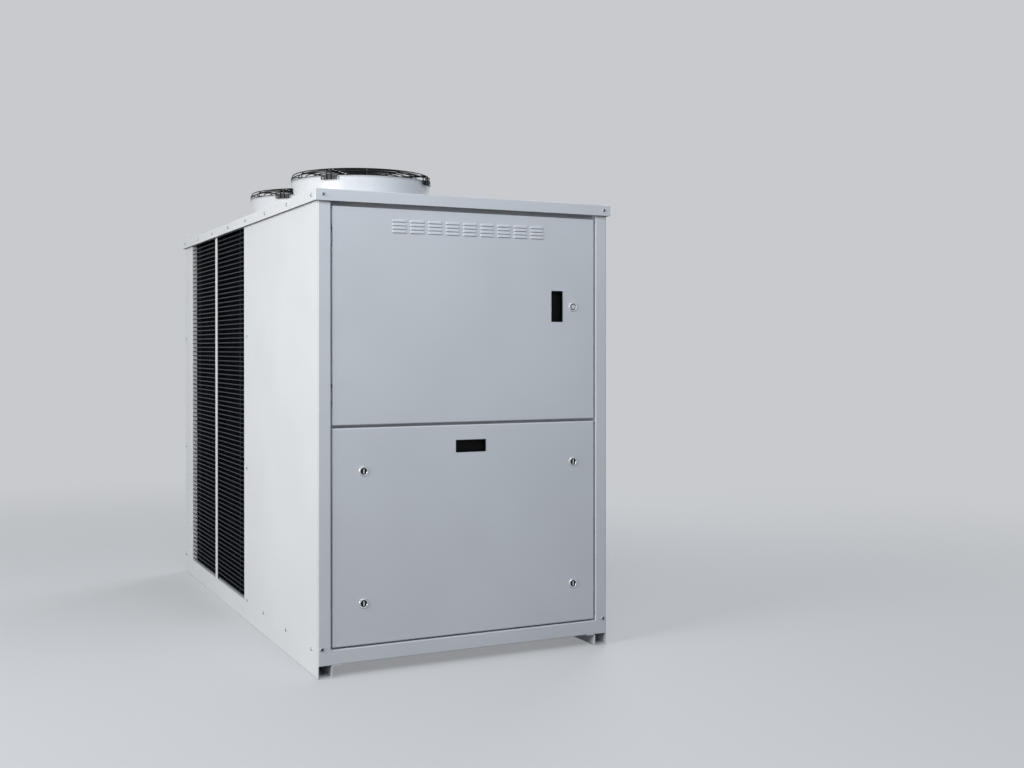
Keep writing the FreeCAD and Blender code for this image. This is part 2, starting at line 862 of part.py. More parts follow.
def make_hinges():
    """Concealed hinges: an arm from the post's landing to a knuckle inside the door's edge, and two
    knuckles on the door whose pin runs through it."""
    x, y = hinge_axis()
    arms = []
    leaves = []
    for middle in hinge_places():
        half_knuckle = S.hinge_knuckle / 2
        level = (middle - half_knuckle, middle + half_knuckle)
        half_leaf = S.hinge_leaf_length / 2
        leaf_front = landing_front - S.hinge_leaf_sheet
        half_arm = S.hinge_arm_sheet / 2
        arm = fuse(
            cylinder((x, y, level[0]), S.hinge_radius, S.hinge_knuckle),
            box((x - half_arm, x + half_arm), (y, leaf_front), level),
            box((x + half_arm - S.hinge_leaf_width + S.hinge_notch_depth / 2, x + S.hinge_notch_depth / 2),
                (leaf_front, landing_front), (middle - half_leaf, middle + half_leaf)),
        )
        bore = hole((x, y, level[0]), S.hinge_pin_radius + S.running_gap, S.hinge_knuckle, "z")
        arms.append(cut(arm, bore))
        skin_back = door_face + S.panel_sheet
        plate = (skin_back, skin_back + S.hinge_leaf_sheet)
        parts = [cylinder((x, y, middle - half_leaf), S.hinge_pin_radius, S.hinge_leaf_length)]
        for below, above in ((middle - half_leaf, level[0] - S.seat_gap),
                             (level[1] + S.seat_gap, middle + half_leaf)):
            parts.append(cylinder((x, y, below), S.hinge_radius, above - below))
            parts.append(box((x, x + S.hinge_door_leaf), plate, (below, above)))
        leaves.append(fuse(*parts))
    node("hinge_frame_leaves", group(*arms))
    node("hinge_door_leaves", group(*leaves))


def make_upper_door():
    """The hinged electrical door with its louvres, seal, grip and lock."""
    height = (door_bottom, door_top)
    tray = folded_tray(both(half_door), height, door_face, S.door_depth, 1)
    half_notch = S.hinge_notch / 2
    notches = [
        box((-half_door - OVERCUT, -half_door + S.hinge_notch_depth),
            (door_face + S.panel_sheet, door_face + S.door_depth + OVERCUT),
            (middle - half_notch, middle + half_notch))
        for middle in hinge_places()
    ]
    lock = (half_door - S.lock_from_right, S.upper_lock_height)
    pierced = cut(tray, grip_window(True), *lock_holes([lock]), *notches)
    node("upper_door", make_louvres(pierced))
    node("upper_door_gasket", gasket_ring(height))
    make_grip(True, "upper_door_grip")
    node("upper_lock_housing", lock_housing(*lock))
    lock_cam(*lock, "upper_lock_cam")


def lower_locks():
    """Where the four locks of the lower panel are, with the names of their corners."""
    left = -half_door + S.lock_from_left
    right = half_door - S.lock_from_right
    return {
        "top_left": (left, S.lower_lock_high),
        "top_right": (right, S.lower_lock_high),
        "bottom_left": (left, S.lower_lock_low),
        "bottom_right": (right, S.lower_lock_low),
    }


def make_lower_panel():
    """The lift-off service panel, held by four quarter-turn locks."""
    height = (panel_bottom, panel_top)
    tray = folded_tray(both(half_door), height, door_face, S.door_depth, 1)
    node("lower_panel", cut(tray, grip_window(False), *lock_holes(lower_locks().values())))
    node("lower_panel_gasket", gasket_ring(height))
    make_grip(False, "lower_panel_grip")
    node("lower_lock_housings", group(*[lock_housing(*place) for place in lower_locks().values()]))
    for corner, place_ in lower_locks().items():
        lock_cam(*place_, f"lock_cam_{corner}")


def make_rear_panel():
    """The rear tray: its lips lie against the landings of the rear posts and rails."""
    face = rear - S.door_recess
    depth = S.landing_depth - S.door_recess
    node("rear_panel", folded_tray(both(half_door), (panel_bottom, door_top), face, depth, -1))


def make_condensers():
    """Finned coils behind the side openings, with headers, wire guards and the mullions in front."""
    coil_front = side_panel_end - S.coil_lap
    coil_y = (coil_front, rear_post_front - S.seat_gap)
    coil_top = cap_under - S.frame_sheet - S.seat_gap
    coil_back = S.coil_recess + S.coil_thickness
    straps = []
    for side, hand in ((-1, "left"), (1, "right")):
        block = box(inward(side, S.coil_recess, coil_back), coil_y, (pan_top, coil_top))
        header_x = side * (half_width - coil_back - S.header_radius)
        header = cylinder((header_x, coil_front + S.header_radius, pan_top + S.header_end_gap),
                          S.header_radius,
                          coil_top - pan_top - S.header_end_gap * 2)
        link = box(inward(side, coil_back, coil_back + S.header_radius),
                   (coil_front + S.header_radius / 2, coil_front + S.header_radius * 1.5),
                   (pan_top + S.header_end_gap, coil_top - S.header_end_gap))
        node(f"condenser_coil_{hand}", fuse(block, header, link))
        node(f"coil_guard_{hand}", wire_guard(side))
        strap = (mullion_y - S.mullion_width / 2, mullion_y + S.mullion_width / 2)
        strap_x = inward(side, S.mullion_recess, S.mullion_recess + S.panel_sheet)
        straps.append(box(strap_x, strap, (sill_top, cap_edge)))
    node("mullions", group(*straps))


def wire_guard(side):
    """Level wires in front of a coil, welded to three upright struts."""
    along = (side_panel_end + S.seat_gap, rear_post_front - S.seat_gap)
    count = int((cap_edge.value - sill_top.value) / S.wire_pitch.value)
    middle_x = side * (half_width - S.wire_recess)
    wires = [hexagon((middle_x, along[0], sill_top + S.wire_pitch * (step + 0.5)), S.wire_radius,
                     along[1] - along[0], "y") for step in range(count)]
    strut_x = inward(side, S.wire_recess + S.wire_radius / 2, S.wire_recess + S.wire_radius + S.wire_strut)
    struts = [box(strut_x, (y, y + S.wire_strut), (sill_top, cap_edge))
              for y in (along[0] + S.strut_inset, mullion_y - S.wire_strut / 2,
                        along[1] - S.strut_inset - S.wire_strut)]
    return fuse(*wires, *struts)


def spoke(reach, width, height, angle):
    """A bar of a wheel about the upright axis, turned by the angle in degrees."""
    bar = doc.addObject("Part::Box", "spoke")
    bar.Placement = App.Placement(V(), App.Rotation(V(0, 0, 1), angle))
    bind(bar, Length=reach[1] - reach[0], Width=width, Height=height[1] - height[0])
    along, across = math.cos(math.radians(angle)), math.sin(math.radians(angle))
    return place(bar, reach[0] * along + width / 2 * across, reach[0] * across - width / 2 * along, height[0])


def flat_ring(outer, width, height):
    rim = cylinder((0, 0, height[0]), outer, height[1] - height[0])
    return cut(rim, hole((0, 0, height[0]), outer - width, height[1] - height[0], "z"))


def fan_cowl():
    """A spun cowl: flange on the roof, straight throat, flared bell and a turned-out lip."""
    inner, skin = S.throat_radius, S.cowl_sheet
    bell = inner + S.bell_flare
    middle = (S.cowl_straight + S.cowl_height) / 2
    return turned([
        (inner, 0), (inner + S.cowl_flange, 0), (inner + S.cowl_flange, skin), (inner + skin, skin),
        (inner + skin, S.cowl_straight), (inner + skin + S.bell_flare / 3, middle),
        (bell + skin, S.cowl_height - skin), (bell + skin + S.rim_lip, S.cowl_height - skin),
        (bell + skin + S.rim_lip, S.cowl_height), (bell, S.cowl_height), (inner + S.bell_flare / 3, middle),
        (inner, S.cowl_straight),
    ])


def foot_hole(reach, offset, angle):
    """The tool for a hole through a guard foot, level and parallel to the foot's bars."""
    tool = doc.addObject("Part::Cylinder", "bar")
    tool.Placement = App.Placement(V(), App.Rotation(V(0, 0, 1), angle).multiply(TURNS["x"]))
    bind(tool, Radius=S.guard_foot_hole, Height=S.guard_wire + 2 * OVERCUT)
    along, across = math.cos(math.radians(angle)), math.sin(math.radians(angle))
    return place(tool, reach * along - offset * across, reach * across + offset * along,
                 -S.guard_foot_drop / 2)


def fan_guard():
    """A contact guard: rings on twelve radial bars that turn down to the rim, four of them doubled
    and footed, and the plate that carries the motor."""
    wire = S.guard_wire
    rim = S.throat_radius + S.bell_flare + S.cowl_sheet + S.rim_lip
    top = S.guard_height
    rings = int(S.guard_rings.value)
    step = (rim - S.guard_plate_radius) / rings
    pieces = [cylinder((0, 0, top - wire), S.guard_plate_radius, wire)]
    holes = []
    for count in range(1, rings + 1):
        pieces.append(flat_ring(S.guard_plate_radius + step * count, wire, (top - wire, top)))
    pieces.append(flat_ring(rim, wire, (0, wire)))
    for quarter in range(12):
        angle = 15 + 30 * quarter
        footed = angle % 90 == 45
        bar = S.guard_leg if footed else wire
        if not footed:
            pieces.append(spoke((S.guard_plate_radius - wire, rim), bar, (top - wire * 2, top - wire), angle))
            pieces.append(spoke((rim - wire, rim), bar, (0, top - wire), angle))
            continue
        turn = math.degrees(S.guard_leg_spread.value / 2 / rim.value)
        for lean in (-turn, turn):
            pieces.append(spoke((S.guard_plate_radius - wire, rim + wire), bar, (top - wire * 2, top - wire),
                                angle + lean))
            pieces.append(spoke((rim, rim + wire), bar, (-S.guard_foot_drop, top - wire), angle + lean))
        pieces.append(spoke((rim + S.seat_gap, rim + wire), S.guard_foot_length,
                            (-S.guard_foot_drop, S.guard_foot_drop / 4), angle))
        for side in (-1, 1):
            holes.append(foot_hole(rim - OVERCUT, side * S.guard_foot_hole_pitch / 2, angle))
    return cut(fuse(*pieces), *holes)


def fan_stator():
    """The fixed half of an external-rotor motor: a flange under the guard and the bearing spigot."""
    reach = S.hub_below_rim + S.guard_height - S.guard_wire
    return turned([
        (0, -S.spigot_depth), (S.spigot_radius, -S.spigot_depth), (S.spigot_radius, S.seat_gap),
        (S.stator_radius, S.seat_gap), (S.stator_radius, reach), (0, reach),
    ])


def blade_section(body, station, chord, angle, sweep):
    """The section of a blade at one station: a thin cambered strip, pitched and swept."""
    sketch = sketch_on(body, "YZ_Plane")
    bind(sketch, AttachmentOffset__Base__z=station)
    half_sheet = S.blade_sheet / 2
    along, across = cosine(angle), sine(angle)

    def corner(share, lift, offset):
        u = chord * share
        v = S.blade_camber * lift + offset
        return sweep + u * along - v * across, u * across + v * along

    outline(sketch, [
        corner(-0.5, -1, 0), corner(-0.2, -0.16, -half_sheet), corner(0.2, -0.16, -half_sheet),
        corner(0.5, -1, 0),
        corner(0.2, -0.16, half_sheet), corner(-0.2, -0.16, half_sheet),
    ])
    return sketch


def fan_impeller():
    """The rotor can with its swept, pitched blades, bored to run on the stator's spigot."""
    body = doc.addObject("PartDesign::Body", "impeller_body")
    can = sketch_on(body, "XY_Plane")
    circle(can, S.hub_radius)
    circle(can, S.spigot_radius + S.running_gap)
    hub = pad(body, can, S.hub_height, backwards=True)
    doc.recompute()
    rims = [f"Edge{n}" for n, edge in enumerate(hub.Shape.Edges, start=1)
            if edge.isClosed() and edge.Length > S.hub_radius.value * math.pi
            and edge.BoundBox.ZMax < -OVERCUT]
    rounding = body.newObject("PartDesign::Fillet", "rounding")
    rounding.Base = (hub, rims)
    bind(rounding, Radius=S.blade_sheet)
    tip = S.throat_radius - S.tip_gap
    tip_station = Size(math.sqrt(tip.value ** 2 - S.blade_tip_chord.value ** 2 / 4),
                       f"sqrt({tip.formula} ^ 2 - {S.blade_tip_chord.formula} ^ 2 / 4)") - S.blade_sheet
    root_station = S.hub_radius * 0.82
    stations = [(0, 0), (0.5, 0.35), (1, 1)]
    sections = []
    for share, swept in stations:
        station = root_station + (tip_station - root_station) * share
        chord = S.blade_root_chord + (S.blade_tip_chord - S.blade_root_chord) * share
        angle = S.blade_root_angle + (S.blade_tip_angle - S.blade_root_angle) * share
        section = blade_section(body, station, chord, angle, S.blade_sweep * swept - S.blade_sweep / 2)
        bind(section, AttachmentOffset__Base__y=-S.hub_height / 2)
        sections.append(section)
    blade = body.newObject("PartDesign::AdditiveLoft", "blade")
    blade.Profile = sections[0]
    blade.Sections = sections[1:]
    wheel = body.newObject("PartDesign::PolarPattern", "wheel")
    wheel.Originals = [blade]
    wheel.Axis = (can, ["N_Axis"])
    wheel.Angle = 360
    bind(wheel, Occurrences=S.blades)
    body.Tip = wheel
    return body


def make_fans():
    hub_top = rim_top - S.hub_below_rim
    for y, name in zip((front_fan_y, rear_fan_y), ("front", "rear")):
        node(f"fan_cowl_{name}", place(fan_cowl(), 0, y, S.cap_top))
        node(f"fan_guard_{name}", place(fan_guard(), 0, y, rim_top))
        node(f"fan_motor_{name}", place(fan_stator(), 0, y, hub_top))
        node(f"fan_impeller_{name}", place(fan_impeller(), 0, y, hub_top))


def make_electrics():
    """The shelf and mounting plate of the electrical compartment, and the switchgear on it."""
    plate_y = front + S.plate_setback
    plate_back = plate_y + S.frame_sheet
    shelf_bottom = S.split_height + S.mid_rail_height / 2
    shelf_top = shelf_bottom + S.frame_sheet
    plate_top = cap_under - S.plate_head_gap
    clear_of_posts = front + S.post_return
    node("mounting_plate", fuse(
        box(both(half_width - S.post_width), (landing_back, clear_of_posts), (shelf_bottom, shelf_top)),
        box(both(half_width - S.panel_sheet), (clear_of_posts, plate_back), (shelf_bottom, shelf_top)),
        box(both(half_width - rail_skin - S.plate_edge_gap), (plate_y, plate_back),
            (shelf_top, plate_top)),
    ))
    deep = (plate_y - S.switchgear_depth, plate_y)
    shallow = (plate_y - S.switchgear_depth / 2, plate_y)
    bay = S.switchgear_width / 12
    left = -S.switchgear_width / 2
    low = shelf_top + S.switchgear_rise
    high = plate_top - S.switchgear_drop

    def unit(start, width, depth, base, rise):
        return box((left + bay * start, left + bay * (start + width)), depth, (base, base + bay * rise))

    contactors = [unit(1 + 1.2 * count, 1, deep, low, 1.5) for count in range(4)]
    breakers = [unit(1 + 0.6 * count, 0.5, deep, high, 1.5) for count in range(8)]
    node("switchgear", group(
        *contactors, *breakers,
        unit(7, 4, shallow, low, 2.4),
        unit(6.6, 4.4, shallow, high, 2.6),
    ))
    node("cable_gland", gland())


def gland():
    """The screwed gland that a supply cable enters by, through the right side panel."""
    skin = half_width - S.panel_sheet
    outer = half_width + S.socket_stand
    inner = outer - S.gland_length
    solid = fuse(
        hexagon((half_width, gland_y, S.gland_z), S.gland_radius * 1.3, S.socket_stand, "x"),
        cylinder((inner, gland_y, S.gland_z), S.gland_radius, outer - inner, "x"),
        hexagon((skin - S.lock_nut, gland_y, S.gland_z), S.gland_radius * 1.3, S.lock_nut, "x"),
    )
    return cut(solid, hole((inner, gland_y, S.gland_z), S.gland_bore, S.gland_length, "x"))


def feet_under(x, y, along, across):
    """Four rubber feet on the pan about a machine's middle."""
    return [cylinder((x + side * along, y + end * across, pan_top), S.foot_radius, S.foot_height)
            for side in (-1, 1) for end in (-1, 1)]


def make_machines():
    """Compressor, evaporator, buffer tank and pump, each on rubber feet on the pan."""
    machine_base = pan_top + S.foot_height
    compressor = place(domed_can(S.compressor_radius, S.compressor_height, S.dome_radius),
                       S.compressor_x, compressor_y, machine_base)
    base_plate = box((S.compressor_x - S.compressor_radius, S.compressor_x + S.compressor_radius),
                     (compressor_y - S.compressor_radius, compressor_y + S.compressor_radius),
                     (machine_base, machine_base + S.machine_plate))
    node("compressor", fuse(compressor, base_plate))
    tank = domed_can(S.tank_radius, S.tank_height, S.tank_dome)
    node("buffer_tank", place(tank, S.tank_x, tank_y, machine_base))
    half_deep = S.exchanger_depth / 2
    half_wide = S.exchanger_width / 2
    high = (machine_base, machine_base + S.exchanger_height)
    cover = S.exchanger_cover
    stack = box((S.exchanger_x - half_deep + cover, S.exchanger_x + half_deep - cover),
                (exchanger_y - half_wide + cover, exchanger_y + half_wide - cover), high)
    covers = [
        box(span, (exchanger_y - half_wide, exchanger_y + half_wide), high)
        for span in ((S.exchanger_x - half_deep, S.exchanger_x - half_deep + cover),
                     (S.exchanger_x + half_deep - cover, S.exchanger_x + half_deep))
    ]
    node("plate_exchanger", fuse(stack, *covers))
    at = (S.pump_x, pump_y, S.pump_axis_height)
    motor = cylinder(at, S.pump_motor_radius, S.pump_motor_length, "x")
    volute = cylinder((S.pump_x + S.pump_motor_length, pump_y, S.pump_axis_height), S.volute_radius,
                      S.volute_width, "x")
    stand_x = (S.pump_x + S.foot_radius, S.pump_x + S.pump_motor_length - S.foot_radius)
    half_stand = S.pump_motor_radius - S.foot_radius
    stand = box(stand_x, (pump_y - half_stand, pump_y + half_stand), (machine_base, S.pump_axis_height))
    node("circulation_pump", fuse(motor, volute, stand))
    margin = S.foot_radius
    node("machine_feet", group(
        *feet_under(S.compressor_x, compressor_y, S.compressor_radius - margin,
                    S.compressor_radius - margin),
        *feet_under(S.tank_x, tank_y, S.tank_foot_reach, S.tank_foot_reach),
        *feet_under(S.exchanger_x, exchanger_y, half_deep - margin, half_wide - margin),
        *feet_under(S.pump_x + S.pump_motor_length / 2, pump_y, S.pump_motor_length / 2 - margin * 2,
                    half_stand - margin),
    ))


def socket(y, z):
    """A threaded water socket that stands just proud of the right side panel."""
    outer = half_width + S.socket_stand
    inner = outer - S.port_depth * 2
    body = cylinder((inner, y, z), S.socket_radius, outer - inner, "x")
    return cut(body, cylinder((outer - S.port_depth, y, z), S.port_radius, S.port_depth + OVERCUT, "x"))


def make_pipes():
    """Water pipes from socket to socket, and refrigerant pipes out to the coil headers."""
    socket_back = half_width + S.socket_stand - S.port_depth * 2
    tank_side = S.tank_x + S.tank_radius
    exchanger_left = S.exchanger_x - S.exchanger_depth / 2
    exchanger_right = S.exchanger_x + S.exchanger_depth / 2
    volute_face = S.pump_x + S.pump_motor_length + S.volute_width
    volute_middle = volute_face - S.volute_width / 2
    volute_top = S.pump_axis_height + S.volute_radius
    water = S.water_pipe_radius

    def water_pipe(*corners):
        return feature_of(tube(corners, water, S.water_bend))

    node("water_pipes", group(
        socket(inlet_y, S.inlet_z),
        socket(outlet_y, S.outlet_z),
        water_pipe((exchanger_right, inlet_y, S.inlet_z), (socket_back, inlet_y, S.inlet_z)),
        water_pipe((exchanger_left, exchanger_y, S.return_level),
                   (S.return_pipe_x, exchanger_y, S.return_level),
                   (S.return_pipe_x, tank_y, S.return_level),
                   (tank_side, tank_y, S.return_level)),
        water_pipe((tank_side, tank_y, S.pump_axis_height),
                   (S.pump_pipe_x, tank_y, S.pump_axis_height),
                   (S.pump_pipe_x, pump_y, S.pump_axis_height),
                   (volute_face, pump_y, S.pump_axis_height)),
        water_pipe((volute_middle, pump_y, volute_top),
                   (volute_middle, pump_y, S.discharge_level),
                   (volute_middle, outlet_y, S.discharge_level),
                   (S.discharge_pipe_x, outlet_y, S.discharge_level),
                   (S.discharge_pipe_x, outlet_y, S.outlet_z),
                   (socket_back, outlet_y, S.outlet_z)),
    ))

    def gas_pipe(*corners):
        return feature_of(tube(corners, S.gas_pipe_radius, S.gas_bend))

    header_face = half_width - S.coil_recess - S.coil_thickness - S.header_radius * 2
    header_y = side_panel_end - S.coil_lap + S.header_radius
    compressor_top = pan_top + S.foot_height + S.compressor_height
    port_y = exchanger_y - S.exchanger_port_offset
    near = compressor_y + S.gas_pipe_offset
    far = compressor_y - S.gas_pipe_offset
    upper = S.gas_level + S.gas_level_step
    node("refrigerant_pipes", group(
        gas_pipe((S.compressor_x, near, compressor_top), (S.compressor_x, near, S.gas_level),
                 (S.compressor_x, header_y, S.gas_level), (header_face, header_y, S.gas_level)),
        gas_pipe((S.compressor_x, far, compressor_top), (S.compressor_x, far, upper),
                 (-S.compressor_x, far, upper), (-S.compressor_x, header_y, upper),
                 (-header_face, header_y, upper)),
        fuse(
            gas_pipe((-header_face, header_y, S.liquid_level), (header_face, header_y, S.liquid_level)),
            gas_pipe((S.liquid_pipe_x, header_y, S.liquid_level), (S.liquid_pipe_x, port_y, S.liquid_level),
                     (exchanger_right, port_y, S.liquid_level)),
        ),
        gas_pipe((exchanger_right, port_y, S.suction_level), (S.suction_pipe_x, port_y, S.suction_level),
                 (S.suction_pipe_x, port_y, S.suction_inlet_level),
                 (S.suction_pipe_x, compressor_y, S.suction_inlet_level),
                 (S.compressor_x + S.compressor_radius, compressor_y, S.suction_inlet_level)),
    ))


def screw(at, axis, outwards):
    """A hexagon head that sits on a face and points along the axis, forwards or backwards."""
    start = list(at)
    if outwards < 0:
        index = "xyz".index(axis)
        start[index] = as_size(at[index]) - S.screw_head
    return hexagon(start, S.screw_radius, S.screw_head, axis)


def steps_along(length, pitch):
    """The steps of a row that starts at one end of a length."""
    return range(int(length.value / pitch.value) + 1)


def make_screws():
    """Heads of the sheet-metal screws that hold cap, panels and posts."""
    screws = []
    cap_level = S.cap_top - S.cap_depth / 2
    cap_side = half_width + S.cap_overhang
    cap_end = half_depth + S.cap_overhang
    low = skid_top + S.panel_screw_rise
    for side in (-1, 1):
        for step in steps_along(cap_end * 2 - S.cap_screw_from_end * 2, S.cap_screw_pitch):
            y = -cap_end + S.cap_screw_from_end + S.cap_screw_pitch * step
            screws.append(screw((side * cap_side, y, cap_level), "x", side))
        low_row = S.side_panel_length - S.panel_screw_inset - S.panel_edge_screw
        for step in steps_along(low_row, S.panel_screw_pitch):
            y = front + S.panel_screw_inset + S.panel_screw_pitch * step
            screws.append(screw((side * half_width, y, low), "x", side))
        for level in (low, S.post_screw_low, S.post_screw_high):
            screws.append(screw((side * half_width, side_panel_end - S.panel_edge_screw, level), "x", side))
            screws.append(screw((side * half_width, rear - S.post_screw_inset, level), "x", side))
        for end in (-1, 1):
            x = side * (half_width - S.front_screw_inset)
            screws.append(screw((x, end * half_depth, base_top + S.door_gap), "y", end))
            corner_x = side * (half_width - S.cap_screw_inset)
            screws.append(screw((corner_x, end * cap_end, cap_level), "y", end))
        for step in steps_along(door_top - panel_bottom - S.rear_screw_inset * 4, S.rear_screw_pitch):
            level = panel_bottom + S.rear_screw_inset * 2 + S.rear_screw_pitch * step
            x = side * (half_door - S.rear_screw_inset)
            screws.append(screw((x, rear - S.door_recess, level), "y", 1))
    node("cover_screws", group(*screws))


make_skids()
make_base_rails()
make_posts()
make_top_rails()
make_roof()
make_side_panels()
make_partition()
make_hinges()
make_upper_door()
make_lower_panel()
make_rear_panel()
make_condensers()
make_fans()
make_electrics()
make_machines()
make_pipes()
make_screws()

doc.recompute()
failed = [thing.Name for thing in doc.Objects if {"Invalid", "Error"} & set(thing.State)]
if failed:
    raise RuntimeError(f"these objects did not build: {failed}")
for name, thing in NODES.items():
    if thing.Shape.isNull() or not thing.Shape.isValid() or not thing.Shape.Solids:
        raise RuntimeError(f"{name} is not a valid solid")

os.makedirs("parts", exist_ok=True)
for name, thing in NODES.items():
    thing.Shape.exportStep(f"parts/{name}.step")
print(len(NODES), "sub-parts,", sum(len(thing.Shape.Solids) for thing in NODES.values()), "solids")
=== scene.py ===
import math
from contextlib import contextmanager

import bmesh
import bpy
from mathutils import Matrix, Vector


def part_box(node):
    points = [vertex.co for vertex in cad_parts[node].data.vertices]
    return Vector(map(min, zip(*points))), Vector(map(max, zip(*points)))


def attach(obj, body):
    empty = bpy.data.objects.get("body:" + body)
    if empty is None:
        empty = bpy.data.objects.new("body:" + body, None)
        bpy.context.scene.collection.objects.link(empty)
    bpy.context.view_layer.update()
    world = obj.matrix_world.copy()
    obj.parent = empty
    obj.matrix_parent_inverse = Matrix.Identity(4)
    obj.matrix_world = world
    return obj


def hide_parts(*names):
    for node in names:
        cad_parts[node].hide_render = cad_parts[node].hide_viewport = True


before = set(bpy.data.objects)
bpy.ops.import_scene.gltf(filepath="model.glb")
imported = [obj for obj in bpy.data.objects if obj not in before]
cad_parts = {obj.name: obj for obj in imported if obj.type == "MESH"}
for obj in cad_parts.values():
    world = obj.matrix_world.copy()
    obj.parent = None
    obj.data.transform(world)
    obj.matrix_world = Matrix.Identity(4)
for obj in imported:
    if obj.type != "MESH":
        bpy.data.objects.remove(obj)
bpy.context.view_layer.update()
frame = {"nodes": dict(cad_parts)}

bl_info = {
    "name": "Industrial chiller",
    "version": (1, 0, 0),
    "blender": (4, 5, 0),
    "location": "3D View > Sidebar > Chiller",
    "description": "Models and finishes the pieces of an air-cooled chiller around its packed frame",
    "category": "Add Mesh",
}

MM = 0.001
AXES = "xyz"
NEAR = 1e-6  # Places closer than this are the same.
STEEP = 0.9  # A direction whose part along an axis is more than this points along that axis.
SIDES = (-1, 1)
ENDS = ("front", "rear")
FINISHES = {}


# Colours and sizes that a user would change

def linear(hexadecimal):
    """An sRGB hex colour as linear red, green and blue."""
    channels = [int(hexadecimal[place:place + 2], 16) / 255 for place in (1, 3, 5)]
    return tuple(c / 12.92 if c <= 0.04045 else ((c + 0.055) / 1.055) ** 2.4 for c in channels)


def colour(name, description, hexadecimal):
    return bpy.props.FloatVectorProperty(
        name=name, description=description, subtype="COLOR", size=3, min=0, max=1, default=linear(hexadecimal))


def length(name, description, millimetres):
    return bpy.props.FloatProperty(name=name, description=description, unit="LENGTH", default=millimetres * MM)


def count(name, description, number):
    return bpy.props.IntProperty(name=name, description=description, default=number, min=1)


class ChillerPaint(bpy.types.PropertyGroup):
    """Colours of the finishes"""
    casing: colour("Casing", "Powder coat of the whole casing", "#d5d7da")
    guard: colour("Guard", "Powder coat of the fan guards", "#0a0b0d")
    # The coil wire's colour is black, with a painted blue tint for the cool light on it.
    coil_wire: colour("Coil wire", "Powder coat of the coil guards", "#040f1c")
    # The fins' colour is dark epoxy, darkened further as painted shade of the coil's recess and given a painted blue
    # tint.
    fins: colour("Fins", "Coating of the coil fins", "#02060e")
    # Grips: black nylon, darkened further as painted shade inside their recesses.
    plastic: colour("Plastic", "Moulded grips", "#020203")
    floor: colour("Floor", "Studio floor and background", "#c8cacd")


class ChillerSheet(bpy.types.PropertyGroup):
    """Sheet-metal sizes"""
    panel: length("Panel gauge", "Thickness of the panels", 1.5)
    frame: length("Frame gauge", "Thickness of posts and rails", 2)
    skid: length("Skid gauge", "Thickness of the skids", 3)
    bend: length("Bend", "Inside radius of the folds", 2.2)
    base_face: length("Base face", "Height of the base rail below the doors", 43)
    edge: length("Edge", "Rounding of cut edges", 0.35)
    skid_width: length("Skid width", "Width of the skid channel", 44)
    post: length("Post width", "Front face of a corner post", 39)
    post_return: length("Post return", "Side face of a front post", 43)
    landing: length("Landing", "Depth of the face that the doors close on", 23)
    jamb: length("Jamb", "Width of the rear post's face beside the coil", 40)
    rail_flange: length("Rail flange", "Flange under the base rail", 40)
    door_lip: length("Door lip", "Width of the edge folded in behind a door", 26)


class ChillerDetail(bpy.types.PropertyGroup):
    """Louvres, guards and seals"""
    louvre_columns: count("Louvre columns", "Louvres side by side", 9)
    louvre_rows: count("Louvre rows", "Louvres above each other", 4)
    louvre_width: length("Louvre width", "Width of one louvre", 46)
    louvre_pitch_x: length("Column pitch", "Distance between louvre columns", 57.6)
    louvre_pitch_z: length("Row pitch", "Distance between louvre rows", 10.7)
    louvre_drop: length("Louvre drop", "From the door's top to the first louvre", 34.6)
    louvre_offset: length("Louvre offset", "Middle of the louvres from the door's middle", 0.5)
    wire_pitch: length("Wire pitch", "Distance between the wires of a coil guard", 17)
    wire_radius: length("Wire radius", "Radius of those wires", 2.1)
    fin_pitch: length("Fin pitch", "Distance between coil fins, drawn coarse enough to show", 3.2)
    guard_wire: length("Guard wire", "Radius of the fan guards' wires", 2)
    guard_plate: length("Guard plate", "Radius of the plate that carries the motor", 75)
    seal_width: length("Seal width", "Width of the door seals", 7.7)


# Making and selecting

def deselect():
    """Leave edit mode and select nothing."""
    if bpy.context.object and bpy.context.object.mode != "OBJECT":
        bpy.ops.object.mode_set(mode="OBJECT")
    bpy.ops.object.select_all(action="DESELECT")


def select(*things):
    deselect()
    for thing in things:
        thing.select_set(True)
    bpy.context.view_layer.objects.active = things[0]


def renamed(piece, name):
    piece.name = piece.data.name = name
    return piece


def named(name):
    """The piece just added, with its place put into its mesh."""
    bpy.ops.object.transform_apply(location=True, rotation=True, scale=True)
    return renamed(bpy.context.object, name)


def remove(*things):
    for thing in things:
        bpy.data.objects.remove(thing, do_unlink=True)


@contextmanager
def editing(piece, mode="FACE"):
    """Edit mode on one piece, with nothing selected."""
    select(piece)
    bpy.ops.object.mode_set(mode="EDIT")
    bpy.ops.mesh.select_mode(type=mode)
    bpy.ops.mesh.select_all(action="DESELECT")
    yield
    bpy.ops.object.mode_set(mode="OBJECT")


def place_of(element):
    """The middle of a face, edge or vertex, with its normal or direction."""
    if isinstance(element, bmesh.types.BMFace):
        return element.calc_center_median(), element.normal
    if isinstance(element, bmesh.types.BMVert):
        return element.co, element.normal
    start, end = (vertex.co for vertex in element.verts)
    return (start + end) / 2, (end - start).normalized()


def pick(piece, kind, test):
    """Select only the faces, edges or vertices whose middle and normal or direction pass a test."""
    bpy.ops.mesh.select_mode(type=kind)
    bpy.ops.mesh.select_all(action="DESELECT")
    mesh = bmesh.from_edit_mesh(piece.data)
    mesh.normal_update()
    elements = {"FACE": mesh.faces, "EDGE": mesh.edges, "VERT": mesh.verts}[kind]
    picked = [element for element in elements if test(*place_of(element))]
    if not picked:
        raise RuntimeError(f"nothing to pick on {piece.name}")
    for element in picked:
        element.select_set(True)
    bmesh.update_edit_mesh(piece.data)


def face_outwards():
    """Turn every normal of the mesh in edit outwards."""
    bpy.ops.mesh.select_all(action="SELECT")
    bpy.ops.mesh.normals_make_consistent(inside=False)


def push(offset):
    """Extrude the selected faces."""
    bpy.ops.mesh.extrude_region_move(TRANSFORM_OT_translate={"value": offset})


